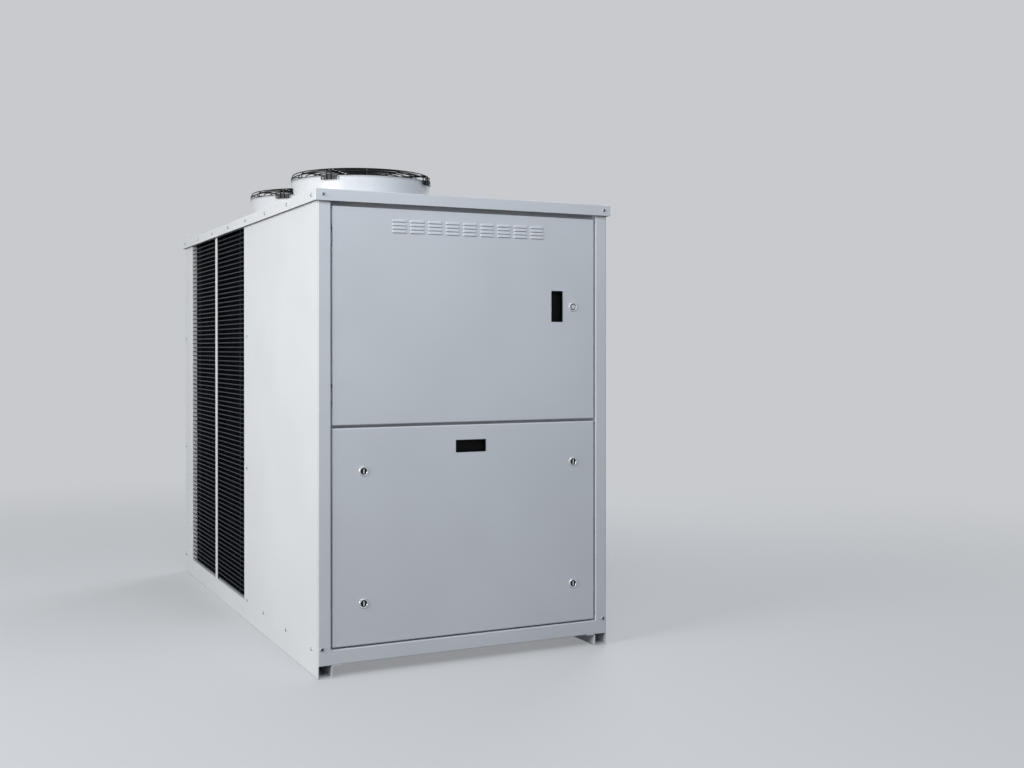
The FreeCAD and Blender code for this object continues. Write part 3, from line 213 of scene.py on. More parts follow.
def sink(piece, test, margin, depth):
    """Inset the faces that pass a test, and push them back."""
    with editing(piece):
        pick(piece, "FACE", test)
        bpy.ops.mesh.inset(thickness=margin)
        push((0, depth, 0))


def round_edges(piece, width, segments, test):
    with editing(piece, "EDGE"):
        pick(piece, "EDGE", test)
        bpy.ops.mesh.bevel(offset=width, segments=segments, affect="EDGES")


def bridge(piece, test):
    """Close the gap between the two loops of edges that pass a test."""
    with editing(piece, "EDGE"):
        pick(piece, "EDGE", test)
        bpy.ops.mesh.bridge_edge_loops()
        face_outwards()
    return piece


def modify(piece, kind, **settings):
    """Add a modifier and apply it."""
    select(piece)
    modifier = piece.modifiers.new(kind.title(), kind)
    for name, value in settings.items():
        setattr(modifier, name, value)
    bpy.ops.object.modifier_apply(modifier=modifier.name)
    return piece


def thicken(piece, gauge, offset=-1):
    """Give a surface the thickness of its sheet, the same at every fold."""
    return modify(piece, "SOLIDIFY", thickness=gauge, offset=offset, use_even_offset=True)


def smooth(piece, angle=35):
    """Smooth shading that keeps sharp corners and leaves large faces flat."""
    select(piece)
    bpy.ops.object.shade_smooth_by_angle(angle=math.radians(angle))
    return modify(piece, "WEIGHTED_NORMAL", keep_sharp=True)


def soften(piece, width, segments=2):
    """Round the sharp edges a little, as paint and tooling leave them."""
    modify(piece, "BEVEL", width=width, segments=segments, limit_method="ANGLE", angle_limit=math.radians(40))
    return smooth(piece)


def joined(name, *pieces):
    select(*pieces)
    if len(pieces) > 1:
        bpy.ops.object.join()
    return renamed(bpy.context.object, name)


def cut(piece, *tools):
    """Cut the tools out of a piece and remove them."""
    tool = joined("tool", *tools)
    modify(piece, "BOOLEAN", operation="DIFFERENCE", object=tool, solver="EXACT")
    remove(tool)
    return piece


def copied(piece, name, offset=(0, 0, 0)):
    """A copy with its own mesh, moved by an offset."""
    double = piece.copy()
    double.data = piece.data.copy()
    bpy.context.collection.objects.link(double)
    double.data.transform(Matrix.Translation(offset))
    return renamed(double, name)


def spaced(piece, number, step):
    """Repeat a piece in a line with an array."""
    return modify(piece, "ARRAY", count=number, use_relative_offset=False, use_constant_offset=True,
                  constant_offset_displace=step)


# Stock shapes

def mm(x, y, z):
    """A place or an offset in millimetres."""
    return Vector((x, y, z)) * MM


def block(name, corner, opposite):
    """A rectangular block between two opposite corners."""
    deselect()
    low, high = (Vector([choose(pair) for pair in zip(corner, opposite)]) for choose in (min, max))
    bpy.ops.mesh.primitive_cube_add(size=1, location=(low + high) / 2, scale=high - low)
    return named(name)


def bar(name, start, end, radius, sides=24):
    """A round bar from one point to another."""
    deselect()
    start, end = Vector(start), Vector(end)
    along = end - start
    bpy.ops.mesh.primitive_cone_add(
        vertices=sides, radius1=radius, radius2=radius, depth=along.length, location=(start + end) / 2,
        rotation=along.to_track_quat("Z", "Y").to_euler())
    return named(name)


def stud(name, x, z, front, back, radius, sides):
    """A round bar that points at the viewer of the front."""
    return bar(name, (x, front, z), (x, back, z), radius, sides)


def turned(name, centre, profile, sides=64, unit=MM, closed=False):
    """A shape turned about an upright line: its rings go up or out along a profile of radius and height."""
    deselect()
    x, y, z = centre
    (first, base), *rest = [(radius * unit, height * unit) for radius, height in profile]
    bpy.ops.mesh.primitive_circle_add(vertices=sides, radius=first, location=(x, y, z + base))
    piece = named(name)
    radius, height = first, base
    with editing(piece, "EDGE"):
        bpy.ops.mesh.select_all(action="SELECT")
        for next_radius, next_height in rest:
            bpy.ops.mesh.extrude_edges_move(TRANSFORM_OT_translate={"value": (0, 0, next_height - height)})
            share = next_radius / radius
            bpy.ops.transform.resize(value=(share, share, 1), center_override=(x, y, z + next_height))
            radius, height = next_radius, next_height
        if closed:
            bpy.ops.mesh.edge_face_add()
            pick(piece, "EDGE", lambda middle, along: abs(middle.z - z - base) < NEAR and abs(
                (middle.xy - Vector((x, y))).length - first) < first * 0.01)
            bpy.ops.mesh.edge_face_add()
        face_outwards()
    return piece


def folded(name, axis, reach, path, gauge, bend):
    """A folded sheet: the path is drawn across the axis, and the metal lies on the left of it."""
    deselect()
    index = AXES.index(axis)
    across = [place for place in range(3) if place != index]

    def at(point, along):
        place = Vector((0, 0, 0))
        place[index] = along
        place[across[0]], place[across[1]] = point
        return place

    middle = sum(reach) / 2
    first, second = at(path[0], middle), at(path[1], middle)
    forward = second - first
    along_axis = Vector((0, 0, 0))
    along_axis[index] = -1 if axis == "y" else 1
    flange = Matrix((along_axis, forward.normalized(), along_axis.cross(forward.normalized()))).transposed()
    bpy.ops.mesh.primitive_plane_add(size=1)
    bpy.context.object.matrix_world = (
        Matrix.Translation((first + second) / 2) @ flange.to_4x4()
        @ Matrix.Diagonal((reach[1] - reach[0], forward.length, 1, 1)))
    piece = named(name)
    with editing(piece, "EDGE"):
        pick(piece, "EDGE", lambda centre, along: (centre - second).length < NEAR)
        for before, after in zip(path[1:], path[2:]):
            bpy.ops.mesh.extrude_edges_move(TRANSFORM_OT_translate={"value": at(after, 0) - at(before, 0)})
        folds = [at(point, middle) for point in path[1:-1]]
        if folds:
            pick(piece, "EDGE", lambda centre, along: any((centre - fold).length < NEAR for fold in folds))
            bpy.ops.mesh.bevel(offset=bend, segments=4, affect="EDGES")
        face_outwards()
        mesh = bmesh.from_edit_mesh(piece.data)
        start_face = min(mesh.faces, key=lambda face: (face.calc_center_median() - (first + second) / 2).length)
        if start_face.normal.dot(along_axis.cross(forward)) < 0:
            bpy.ops.mesh.flip_normals()
    return thicken(piece, gauge, 1)


def flipped(path):
    """A path mirrored to the other side, still with the metal on its left."""
    return [(-u, v) for u, v in reversed(path)]


def corners(node, axis, picks):
    """A path round a node's box, seen along an axis: each corner is at its low or high end both ways."""
    ends = dict(zip("lh", span(node)))
    wide, tall = (place for place in range(3) if AXES[place] != axis)
    return [(ends[first][wide], ends[second][tall]) for first, second in picks.split()]


def bent_rod(name, points, radius, bend):
    """A round wire or pipe through points, with rounded corners."""
    deselect()
    bpy.ops.mesh.primitive_plane_add(size=MM, location=points[0])
    piece = named(name)
    with editing(piece, "VERT"):
        bpy.ops.mesh.select_all(action="SELECT")
        bpy.ops.mesh.merge(type="CENTER")
        for before, after in zip(points, points[1:]):
            bpy.ops.mesh.extrude_vertices_move(TRANSFORM_OT_translate={"value": Vector(after) - Vector(before)})
        turns = [Vector(point) for point in points[1:-1]]
        pick(piece, "VERT", lambda place, normal: any((place - turn).length < NEAR for turn in turns))
        bpy.ops.mesh.bevel(offset=bend, segments=6, affect="VERTICES")
    select(piece)
    bpy.ops.object.convert(target="CURVE")
    curve = bpy.context.object.data
    curve.bevel_depth = radius
    curve.bevel_resolution = 1
    curve.use_fill_caps = True
    bpy.ops.object.convert(target="MESH")
    return smooth(named(name), 50)


# Placing and finishing

def span(node):
    """The lowest and the highest corner of a node's box."""
    low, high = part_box(node)
    return Vector(low), Vector(high)


def finish(piece, body, material, slot, *nodes):
    """Give a finished piece its material, its body and the nodes that it stands for."""
    piece.data.materials.clear()
    piece.data.materials.append(FINISHES[material])
    for face in piece.data.polygons:
        face.material_index = 0
    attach(piece, body)
    if nodes:
        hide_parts(*nodes)


def fold_pieces(nodes, ending, axis, path, slot, gauge, scale=1, holes=()):
    """Fold the sheet of a node of the casing and, where there is a second, its mirror image with the holes."""
    sheet = bpy.context.scene.chiller_sheet
    reach = [corner[AXES.index(axis)] for corner in span(nodes[0])]
    for node, route, tools in zip(nodes, (path, flipped(path)), ((), holes)):
        piece = folded(node + ending, axis, reach, route, gauge, sheet.bend * scale)
        if tools:
            cut(piece, *tools)
        finish(soften(piece, sheet.edge * scale), "casing", "casing", slot, node)


# Materials

def feed(node, inputs):
    """Give each input of a node its value, or link it to the output that feeds it."""
    for key, value in inputs.items():
        if isinstance(value, bpy.types.NodeSocket):
            node.id_data.links.new(value, node.inputs[key])
        else:
            node.inputs[key].default_value = value
    return node


def add_node(tree, kind, inputs=None, **settings):
    """Add a node with its settings and inputs."""
    made = tree.nodes.new("ShaderNode" + kind)
    for name, value in settings.items():
        setattr(made, name, value)
    return feed(made, inputs or {})


def material_start(name):
    """An empty material with its shader, and coordinates in metres on the object."""
    material = bpy.data.materials.new(name)
    material.use_nodes = True
    tree = material.node_tree
    tree.nodes.clear()
    shader = add_node(tree, "BsdfPrincipled")
    add_node(tree, "OutputMaterial", {"Surface": shader.outputs["BSDF"]})
    return material, tree, shader, add_node(tree, "TexCoord").outputs["Object"]


def vary(tree, place, scale, low, high, detail=2):
    """A value that drifts between two limits over the surface."""
    noise = add_node(tree, "TexNoise", {"Vector": place, "Scale": scale, "Detail": detail})
    return add_node(tree, "MapRange", {
        "Value": noise.outputs["Fac"], "From Min": 0.3, "From Max": 0.7, "To Min": low, "To Max": high,
    }).outputs["Result"]


def blend(tree, share, dark, light):
    """A mix of two colours."""
    dark, light = (value if isinstance(value, bpy.types.NodeSocket) else (*value, 1) for value in (dark, light))
    return add_node(tree, "Mix", {"Factor": share, "A": dark, "B": light}, data_type="RGBA").outputs["Result"]


def tint(tree, place, scale, dark, light, detail=2):
    """A colour that drifts between two over the surface."""
    return blend(tree, vary(tree, place, scale, 0, 1, detail), dark, light)


def relief(tree, place, kind, size, strength, depth, **inputs):
    """A surface roughened by a texture, with its grain size and depth in millimetres."""
    texture = add_node(tree, kind, {"Vector": place, "Scale": 1 / (size * MM), **inputs})
    return add_node(tree, "Bump", {
        "Height": texture.outputs[0], "Strength": strength, "Distance": depth * MM}).outputs["Normal"]


def scaled(rgb, share):
    return tuple(min(1, channel * share) for channel in rgb)


def powder_coated_steel(name, rgb, peel=2.6, gloss=0.5, rough=0.41):
    """Polyester powder coat on steel: matt-satin, with the fine orange peel of melted powder."""
    material, tree, shader, place = material_start(name)
    feed(shader, {
        "Base Color": tint(tree, place, 3.5, scaled(rgb, 0.965), scaled(rgb, 1.02)),
        "Roughness": vary(tree, place, 9, rough * 0.97, rough * 1.04),
        "Normal": relief(tree, place, "TexNoise", peel, 0.12, 0.12, Detail=1),
        "IOR": 1.5, "Specular IOR Level": gloss})
    return material


def galvanised_steel():
    """Hot-dip galvanised sheet: zinc spangles of about 9 mm in slightly different greys."""
    material, tree, shader, place = material_start("galvanised_steel")
    spangle = add_node(tree, "TexVoronoi", {"Vector": place, "Scale": 1 / (9 * MM)})
    grey = add_node(tree, "SeparateColor", {"Color": spangle.outputs["Color"]})
    rough = add_node(tree, "MapRange", {"Value": grey.outputs["Green"], "To Min": 0.4, "To Max": 0.48})
    feed(shader, {
        "Base Color": blend(tree, grey.outputs["Red"], linear("#b2b6b9"), linear("#c0c4c6")),
        "Roughness": rough.outputs["Result"], "Metallic": 1})
    return material


def moulded_nylon(name, rgb, gloss=0.4):
    """Glass-filled nylon from a spark-eroded mould: a fine, even grain that breaks up every highlight."""
    material, tree, shader, place = material_start(name)
    feed(shader, {
        "Base Color": tint(tree, place, 40, scaled(rgb, 0.95), scaled(rgb, 1.05)),
        "Roughness": vary(tree, place, 60, 0.5, 0.65),
        "Normal": relief(tree, place, "TexNoise", 0.8, 0.25, 0.1, Detail=2),
        "Specular IOR Level": gloss})
    return material


def bare_metal(name, dark, light, roughness, grain_mm=1.5, stretch=(1, 1, 1)):
    """Plated, drawn or brushed metal: its grain is stretched along the way it was worked."""
    material, tree, shader, place = material_start(name)
    along = add_node(tree, "Mapping", {"Vector": place, "Scale": stretch}).outputs["Vector"]
    feed(shader, {
        "Base Color": tint(tree, along, 1 / (grain_mm * 6 * MM), linear(dark), linear(light), 4),
        "Roughness": vary(tree, along, 1 / (grain_mm * MM), roughness * 0.8, roughness * 1.25, 4),
        "Metallic": 1})
    return material


def coated_fins(name, rgb):
    """Aluminium fins with a dark epoxy coat, whose colour also carries painted shade of the coil's recess: half matt,
    with faint level bands where the tubes pass.
    """
    material, tree, shader, place = material_start(name)
    bands = add_node(tree, "TexWave", {
        "Vector": place, "Scale": 1 / (25.4 * MM) / 3.2, "Distortion": 0.6, "Detail": 1}, bands_direction="Z")
    feed(shader, {
        "Base Color": blend(tree, bands.outputs["Fac"], scaled(rgb, 0.85), scaled(rgb, 1.15)),
        "Roughness": vary(tree, place, 30, 0.5, 0.6), "Specular IOR Level": 0.05})
    return material


def foam_rubber(name, rgb):
    """Closed-cell foam: matt black with a fine open skin."""
    material, tree, shader, place = material_start(name)
    feed(shader, {
        "Base Color": tint(tree, place, 25, scaled(rgb, 0.92), scaled(rgb, 1.1)),
        "Roughness": vary(tree, place, 30, 0.75, 0.9),
        "Normal": relief(tree, place, "TexVoronoi", 1.6, 0.35, 0.3)})
    return material


def make_materials(paint):
    """All the finishes of the chiller, by name."""
    return {
        # Sprayed powder, melted in an oven: broad soft highlights, and a faint ripple close up.
        "casing": powder_coated_steel("powder_coated_casing_steel", paint.casing),
        # The same powder over spun sheet, which is rounder and smoother: tall bright streaks.
        "cowl": powder_coated_steel("powder_coated_spun_steel", paint.casing, rough=0.28),
        # Thin black powder on welded wire: dull, with hardly any highlight.
        "guard": powder_coated_steel("powder_coated_guard_wire", paint.guard, gloss=0.25),
        # Black powder on the level wires, with a painted blue tint standing in for the cool light that they reflect:
        # each has one thin line of light.
        "coil_wire": powder_coated_steel("powder_coated_coil_wire", paint.coil_wire, gloss=0.06, rough=0.28),
        # Dipped and baked dark epoxy, its colour darkened and blued further as painted shade of the recess behind the
        # wires: the coil reads as a dark hollow behind its wires.
        "fins": coated_fins("epoxy_coated_aluminium_fins", paint.fins),
        # Zinc left to freeze on the sheet: flat crystals that differ a little in brightness.
        "galvanised": galvanised_steel(),
        # Injection moulded black nylon without gloss, darkened below its own black as painted shade, so that a recess
        # looks like a black hole.
        "nylon": moulded_nylon("moulded_black_nylon", paint.plastic, 0.12),
        # Injection moulded housings: even and half matt, with soft edges.
        "housing": moulded_nylon("moulded_grey_polyamide", linear("#3c3f43")),
        "pale_housing": moulded_nylon("moulded_pale_polyamide", linear("#c9cbc9")),
        # Extruded: the same dull skin along the whole length.
        "duct": moulded_nylon("extruded_grey_pvc", linear("#8d9194")),
        "wire": moulded_nylon("extruded_pvc_wire_insulation", linear("#1c1d20")),
        # Moulded with glass fibre: dark, dry-looking blades.
        "impeller": moulded_nylon("moulded_impeller_nylon", linear("#1b1c1f")),
        # Sprayed enamel on cast or drawn metal: a tighter ripple and rounder highlights than powder.
        "motor": powder_coated_steel("dark_enamelled_aluminium", linear("#2b2d31"), 1.5),
        "pump": powder_coated_steel("enamelled_cast_iron", linear("#2d3a47"), 1.2),
        "compressor": powder_coated_steel("black_enamelled_steel", linear("#121315"), 1.5),
        # Satin nickel on die-cast zinc: pale, neutral and softly mirrored.
        "lock": bare_metal("satin_nickel_plated_zinc", "#c4c8cc", "#e2e5e8", 0.36),
        # Chemically blackened: nearly black, with a faint metal sheen.
        "lock_core": bare_metal("blackened_steel", "#26292d", "#3a3d42", 0.42),
        # Bright zinc plate: small grey heads that catch a light edge.
        "screw": bare_metal("zinc_plated_steel", "#8d9298", "#b4b9be", 0.34),
        # Painted shade: a dark steel disc at the bottom of each socket, so that the socket is a dark dot in its head.
        "socket": bare_metal("oiled_socket_steel", "#15171a", "#24272b", 0.5),
        # Brushed along its length: highlights are drawn out across the grain.
        "stainless": bare_metal("brushed_stainless_steel", "#adb0b3", "#bfc2c4", 0.32, 1.2, (1, 1, 0.1)),
        # Drawn tube: warm, smooth, and slightly browned by handling.
        "copper": bare_metal("drawn_copper", "#b06a48", "#c67c57", 0.3),
        # Extruded foam with an open skin: swallows light.
        "seal": foam_rubber("foam_rubber_seal", linear("#1a1b1c")),
        "jacket": foam_rubber("closed_cell_foam_jacket", linear("#202123")),
    }


# Casing

class CHILLER_OT_skids(bpy.types.Operator):
    """Fold the two base channels with their inward flanges"""
    bl_idname = "chiller.skids"
    bl_label = "Skids"

    def execute(self, context):
        sheet = context.scene.chiller_sheet
        low, high = span("skid_left")
        wall, flange = low.x + sheet.skid_width, high.z - sheet.skid
        path = [(low.x, high.z), (low.x, low.z), (wall, low.z), (wall, flange), (high.x, flange)]
        fold_pieces(("skid_left", "skid_right"), "_channel", "y", path, "white_sheet", sheet.skid, 1.5)
        return {"FINISHED"}


class CHILLER_OT_posts(bpy.types.Operator):
    """Fold the four corner posts"""
    bl_idname = "chiller.posts"
    bl_label = "Corner posts"

    def execute(self, context):
        sheet = context.scene.chiller_sheet
        low, high = span("post_front_left")
        wall, jamb, landing = low.x + sheet.panel, low.x + sheet.post, low.y + sheet.landing
        path = [(wall, low.y + sheet.post_return), (wall, low.y), (jamb, low.y), (jamb, landing), (high.x, landing)]
        fold_pieces(("post_front_left", "post_front_right"), "_sheet", "z", path, "grey_sheet", sheet.frame)
        low, high = span("post_rear_left")
        landing = high.y - sheet.landing
        path = [(high.x, landing), (jamb, landing), (jamb, high.y), (low.x, high.y), (low.x, low.y),
                (low.x + sheet.jamb, low.y)]
        fold_pieces(("post_rear_left", "post_rear_right"), "_sheet", "z", path, "white_sheet", sheet.frame)
        return {"FINISHED"}


# From the middle of the casing, in millimetres: where the posts cover a base rail, and where its face meets theirs.
RAIL_NOTCH = 409
RAIL_SEAM = 443
HALF_WELD = 7


class CHILLER_OT_base_rails(bpy.types.Operator):
    """Fold the rails between the posts at the foot of the casing, and dress their seams"""
    bl_idname = "chiller.base_rails"
    bl_label = "Base rails"

    def execute(self, context):
        sheet = context.scene.chiller_sheet
        for name, slot, end in (("base_rail_front", "grey_sheet", 1), ("base_rail_rear", "white_sheet", -1)):
            low, high = span(name)
            face = low.y if end > 0 else high.y
            level, landing = low.z + sheet.base_face, face + end * sheet.landing
            path = [(landing, high.z), (landing, level), (face, level), (face, low.z),
                    (face + end * sheet.rail_flange, low.z)]
            rail = folded(name + "_sheet", "x", (low.x, high.x), path[::end], sheet.frame, sheet.bend)
            cut(rail, *[block("notch", (side * RAIL_NOTCH * MM, landing, -0.1), (side * 0.5, landing + end * 0.1, 0.3))
                        for side in SIDES])
            soften(rail, sheet.edge)
            welds = [block("weld", ((side * RAIL_SEAM - HALF_WELD) * MM, face - end * 0.03 * MM, low.z + 0.6 * MM),
                           ((side * RAIL_SEAM + HALF_WELD) * MM, face + end * MM, level - 0.2 * MM)) for side in SIDES]
            finish(joined(name + "_sheet", rail, *welds), "casing", "casing", slot, name)
        return {"FINISHED"}


# Holes in the right side for the water sockets and the cable gland: place along, height and radius.
SIDE_HOLES = ((-290, 540, 23.3), (-640, 250, 23.3), (-790, 830, 16.3))


class CHILLER_OT_side_panels(bpy.types.Operator):
    """Fold the side skins of the machine compartment"""
    bl_idname = "chiller.side_panels"
    bl_label = "Side panels"

    def execute(self, context):
        holes = [bar("hole", (0.4, y * MM, z * MM), (0.5, y * MM, z * MM), radius * MM, 48)
                 for y, z, radius in SIDE_HOLES]
        fold_pieces(("side_panel_left", "side_panel_right"), "_skin", "z", corners("side_panel_left", "z", "hh lh ll"),
                    "white_sheet", context.scene.chiller_sheet.panel, holes=holes)
        return {"FINISHED"}


THROAT = 252  # Radius of the fans' round openings, in millimetres.


def fan_centre(end):
    low, high = span("fan_cowl_" + end)
    return (low.x + high.x) / 2, (low.y + high.y) / 2, low.z


class CHILLER_OT_roof_cap(bpy.types.Operator):
    """Fold the lipped roof and hole it under the fans"""
    bl_idname = "chiller.roof_cap"
    bl_label = "Roof cap"

    def execute(self, context):
        sheet = context.scene.chiller_sheet
        low, high = span("roof_cap")
        cap = block("roof_cap_sheet", low, high)
        with editing(cap):
            pick(cap, "FACE", lambda middle, normal: normal.z < -STEEP)
            bpy.ops.mesh.delete(type="FACE")
        round_edges(cap, sheet.bend, 3, lambda middle, along: middle.z > low.z + MM)
        thicken(cap, sheet.panel)
        throats = []
        for end in ENDS:
            x, y, _ = fan_centre(end)
            throats.append(bar("throat", (x, y, high.z - 0.02), (x, y, high.z + 0.02), THROAT * MM, 128))
        finish(soften(cut(cap, *throats), sheet.edge), "casing", "casing", "white_sheet", "roof_cap")
        return {"FINISHED"}


def folded_tray(name, low, high, facing):
    """A sheet tray: skin at the face, folded sides, and a lip turned in at the open back."""
    sheet = bpy.context.scene.chiller_sheet
    tray = block(name, low, high)
    with editing(tray):
        pick(tray, "FACE", lambda middle, normal: normal.y * facing < -STEEP)
        bpy.ops.mesh.inset(thickness=sheet.door_lip)
        bpy.ops.mesh.delete(type="FACE")
        pick(tray, "EDGE", lambda middle, along: min(
            abs(abs(middle.x) - high.x), abs(middle.z - low.z), abs(middle.z - high.z)) < NEAR)
        bpy.ops.mesh.bevel(offset=sheet.bend + sheet.panel, segments=4, affect="EDGES")
    return thicken(tray, sheet.panel)


# Where a tool starts and ends that cuts a window through a skin at the front.
AHEAD, BEHIND = -1, -0.95


def grip_window(node):
    """The block that cuts a grip's window out of a door, just inside the grip's edge."""
    low, high = span(node)
    edge = 1.3 * MM
    return block("window", (low.x + edge, AHEAD, low.z + edge), (high.x - edge, BEHIND, high.z - edge))


def lock_window(x, z):
    """The round bar that cuts a lock's hole."""
    return stud("window", x, z, AHEAD, BEHIND, 11.3 * MM, 40)


# How far a louvre stands out of the door's skin, and its height as a share of its end radius.
HOOD_DEPTH = 3 * MM
HOOD_HEIGHT = 1.7


def louvre_hood(width, radius):
    """A half shell, open below, that stands on the door's skin with its round ends apart."""
    deselect()
    bpy.ops.mesh.primitive_uv_sphere_add(segments=20, ring_count=12, radius=radius)
    hood = named("hood")
    with editing(hood, "VERT"):
        bpy.ops.mesh.select_all(action="SELECT")
        bpy.ops.transform.resize(value=(1, HOOD_DEPTH / radius, HOOD_HEIGHT))
        bpy.ops.mesh.bisect(plane_co=(0, 0, 0), plane_no=(0, 0, 1), clear_inner=True)
        bpy.ops.mesh.select_all(action="SELECT")
        bpy.ops.mesh.bisect(plane_co=(0, 0, 0), plane_no=(0, 1, 0), clear_outer=True)
        for side in SIDES:
            pick(hood, "VERT", lambda place, normal: place.x * side > 1e-5)
            bpy.ops.transform.translate(value=(side * (width / 2 - radius), 0, 0))
    return modify(hood, "SOLIDIFY", thickness=0.8 * MM, offset=-1)


class CHILLER_OT_upper_door(bpy.types.Operator):
    """Fold the hinged door and press its louvres"""
    bl_idname = "chiller.upper_door"
    bl_label = "Upper door"

    def execute(self, context):
        sheet, detail = context.scene.chiller_sheet, context.scene.chiller_detail
        low, high = span("upper_door")
        low.y += HOOD_DEPTH
        door = folded_tray("upper_door_skin", low, high, -1)
        hinge_inset, half_notch, notch_depth = 90 * MM, 30 * MM, 15 * MM
        notches = [block("notch", (low.x - 0.01, low.y + sheet.panel, hinge - half_notch),
                         (low.x + notch_depth, high.y + 0.01, hinge + half_notch))
                   for hinge in (low.z + hinge_inset, high.z - hinge_inset)]
        model = louvre_hood(detail.louvre_width, detail.louvre_pitch_z * 0.42)
        left = detail.louvre_offset - detail.louvre_pitch_x * (detail.louvre_columns - 1) / 2
        half_slot, slot_height, half_louvre = detail.louvre_width / 2 - 2 * MM, 3.5 * MM, 4 * MM
        hoods, slots = [], []
        for column in range(detail.louvre_columns):
            for row in range(detail.louvre_rows):
                x = left + detail.louvre_pitch_x * column
                z = high.z - detail.louvre_drop - detail.louvre_pitch_z * row - half_louvre
                hoods.append(copied(model, "hood", (x, low.y + 0.2 * MM, z)))
                slots.append(block("slot", (x - half_slot, low.y - 0.01, z),
                                   (x + half_slot, low.y + 0.01, z + slot_height)))
        remove(model)
        lock_low, lock_high = span("upper_lock_housing")
        lock = (lock_low + lock_high) / 2
        cut(door, *slots, grip_window("upper_door_grip"), lock_window(lock.x, lock.z), *notches)
        soften(door, sheet.edge)
        finish(smooth(joined("louvre_hoods", *hoods), 50), "door", "casing", "grey_sheet")
        finish(door, "door", "casing", "grey_sheet", "upper_door")
        return {"FINISHED"}


LOWER_LOCKS = ("lock_cam_top_left", "lock_cam_top_right", "lock_cam_bottom_left", "lock_cam_bottom_right")
TONGUE_TOP = 8 * MM  # From a lock's axis to the round end of its tongue.


def lock_axis(cam):
    """Where a lock turns: in the middle of its tongue's width, a little under the top."""
    low, high = span(cam)
    return (low.x + high.x) / 2, high.z - TONGUE_TOP


class CHILLER_OT_lower_panel(bpy.types.Operator):
    """Fold the lift-off service panel"""
    bl_idname = "chiller.lower_panel"
    bl_label = "Lower panel"

    def execute(self, context):
        panel = folded_tray("lower_panel_skin", *span("lower_panel"), -1)
        cut(panel, grip_window("lower_panel_grip"), *[lock_window(*lock_axis(cam)) for cam in LOWER_LOCKS])
        soften(panel, context.scene.chiller_sheet.edge)
        finish(panel, "service_panel", "casing", "grey_sheet", "lower_panel")
        return {"FINISHED"}


class CHILLER_OT_rear_panel(bpy.types.Operator):
    """Fold the rear panel between the rear posts"""
    bl_idname = "chiller.rear_panel"
    bl_label = "Rear panel"

    def execute(self, context):
        panel = soften(folded_tray("rear_panel_skin", *span("rear_panel"), 1), context.scene.chiller_sheet.edge)
        finish(panel, "casing", "casing", "white_sheet", "rear_panel")
        return {"FINISHED"}


class CHILLER_OT_grips(bpy.types.Operator):
    """Mould the two recessed grips"""
    bl_idname = "chiller.grips"
    bl_label = "Grips"

    def execute(self, context):
        overlap, rim, dish, wall, corner = 1.2 * MM, 2.6 * MM, 12.8 * MM, 1.6 * MM, 1.2 * MM
        for node, body in (("upper_door_grip", "door"), ("lower_panel_grip", "service_panel")):
            low, high = span(node)
            low.x, high.x = low.x - overlap, high.x + overlap
            cup = block(node + "_cup", low, (high.x, low.y + MM, high.z))
            sink(cup, lambda middle, normal: normal.y < -STEEP, rim, dish)
            sink(cup, lambda middle, normal: normal.y > STEEP and middle.y < low.y + 2 * MM, wall, high.y - low.y - MM)
            round_edges(cup, corner, 3, lambda middle, along: abs(along.y) > STEEP)
            finish(soften(cup, 0.3 * MM), body, "nylon", "black_plastic", node)
        return {"FINISHED"}


def lock_housing(x, z, face, back):
    """A dished flange with a threaded barrel and its nut behind the skin."""
    bore, deep = 6.1, (back - face) / MM
    flange = turned("flange", (0, 0, 0), [
        (bore, 1.2), (9.6, 1.2), (10.4, 0), (13.6, 0), (15, 1.2), (15, 2.5), (11, 2.5), (11, deep), (bore, deep)], 40)
    bridge(flange, lambda middle, along: abs(middle.xy.length - bore * MM) < 0.1 * MM)
    housing = joined("flange", flange, bar("nut", mm(0, 0, 4), mm(0, 0, 9), 15 * MM, 6))
    housing.data.transform(Matrix.Translation((x, face, z)) @ Matrix.Rotation(-math.pi / 2, 4, "X"))
    return soften(housing, 0.3 * MM)


def lock_insert(x, z, face):
    """The dark ring that lines the dish round the key's end: partly a black insert, partly painted shade of the dish.
    """
    insert = turned("insert", (0, 0, 0), [(6.2, 0), (6.2, 0.5), (9.9, 0.3), (10.2, 0)], 40)
    bridge(insert, lambda middle, along: middle.z < 0.01 * MM)
    insert.data.transform(Matrix.Translation((x, face + 1.25 * MM, z)) @ Matrix.Rotation(math.pi / 2, 4, "X"))
    return smooth(insert)


def lock_cam(name, x, z, face, low, high):
    """The turning core of a lock, with its tongue and nut behind the frame."""
    gauge, nut_height = 3 * MM, 2.4 * MM
    back = high.y - gauge
    shaft = stud("shaft", x, z, face + 1.2 * MM, high.y, 6 * MM, 32)
    tongue = block("tongue", (low.x, back, low.z), (high.x, high.y, z + TONGUE_TOP))
    round_edges(tongue, 7.2 * MM, 6, lambda middle, along: abs(along.y) > STEEP)
    nut = stud("nut", x, z, back - nut_height, back, 7.5 * MM, 6)
    return soften(joined(name, shaft, tongue, nut), 0.25 * MM)


def lock_bit(name, x, z, face):
    """The double-bit end that the key turns: a round pin with an upright wing on each side."""
    back, half_width, half_height = face + 1.4 * MM, 1.9 * MM, 6.8 * MM
    pin = stud("pin", x, z, face, back, 2.4 * MM, 24)
    wing = block("wing", (x - half_width, face, z - half_height), (x + half_width, back, z + half_height))
    modify(pin, "BOOLEAN", operation="UNION", object=wing, solver="EXACT")
    remove(wing)
    return soften(renamed(pin, name), 0.35 * MM, 3)


def lock_cap(name, x, z, face):
    """The flat end of the upper lock's core, with the narrow slot of its key."""
    half_width, half_height, depth = 0.7 * MM, 3.6 * MM, 0.9 * MM
    cap = stud(name, x, z, face + 0.1 * MM, face + 1.4 * MM, 7.4 * MM, 40)
    cut(cap, block("slot", (x - half_width, face - MM, z - half_height),
                   (x + half_width, face + depth, z + half_height)))
    return soften(cap, 0.5 * MM, 3)


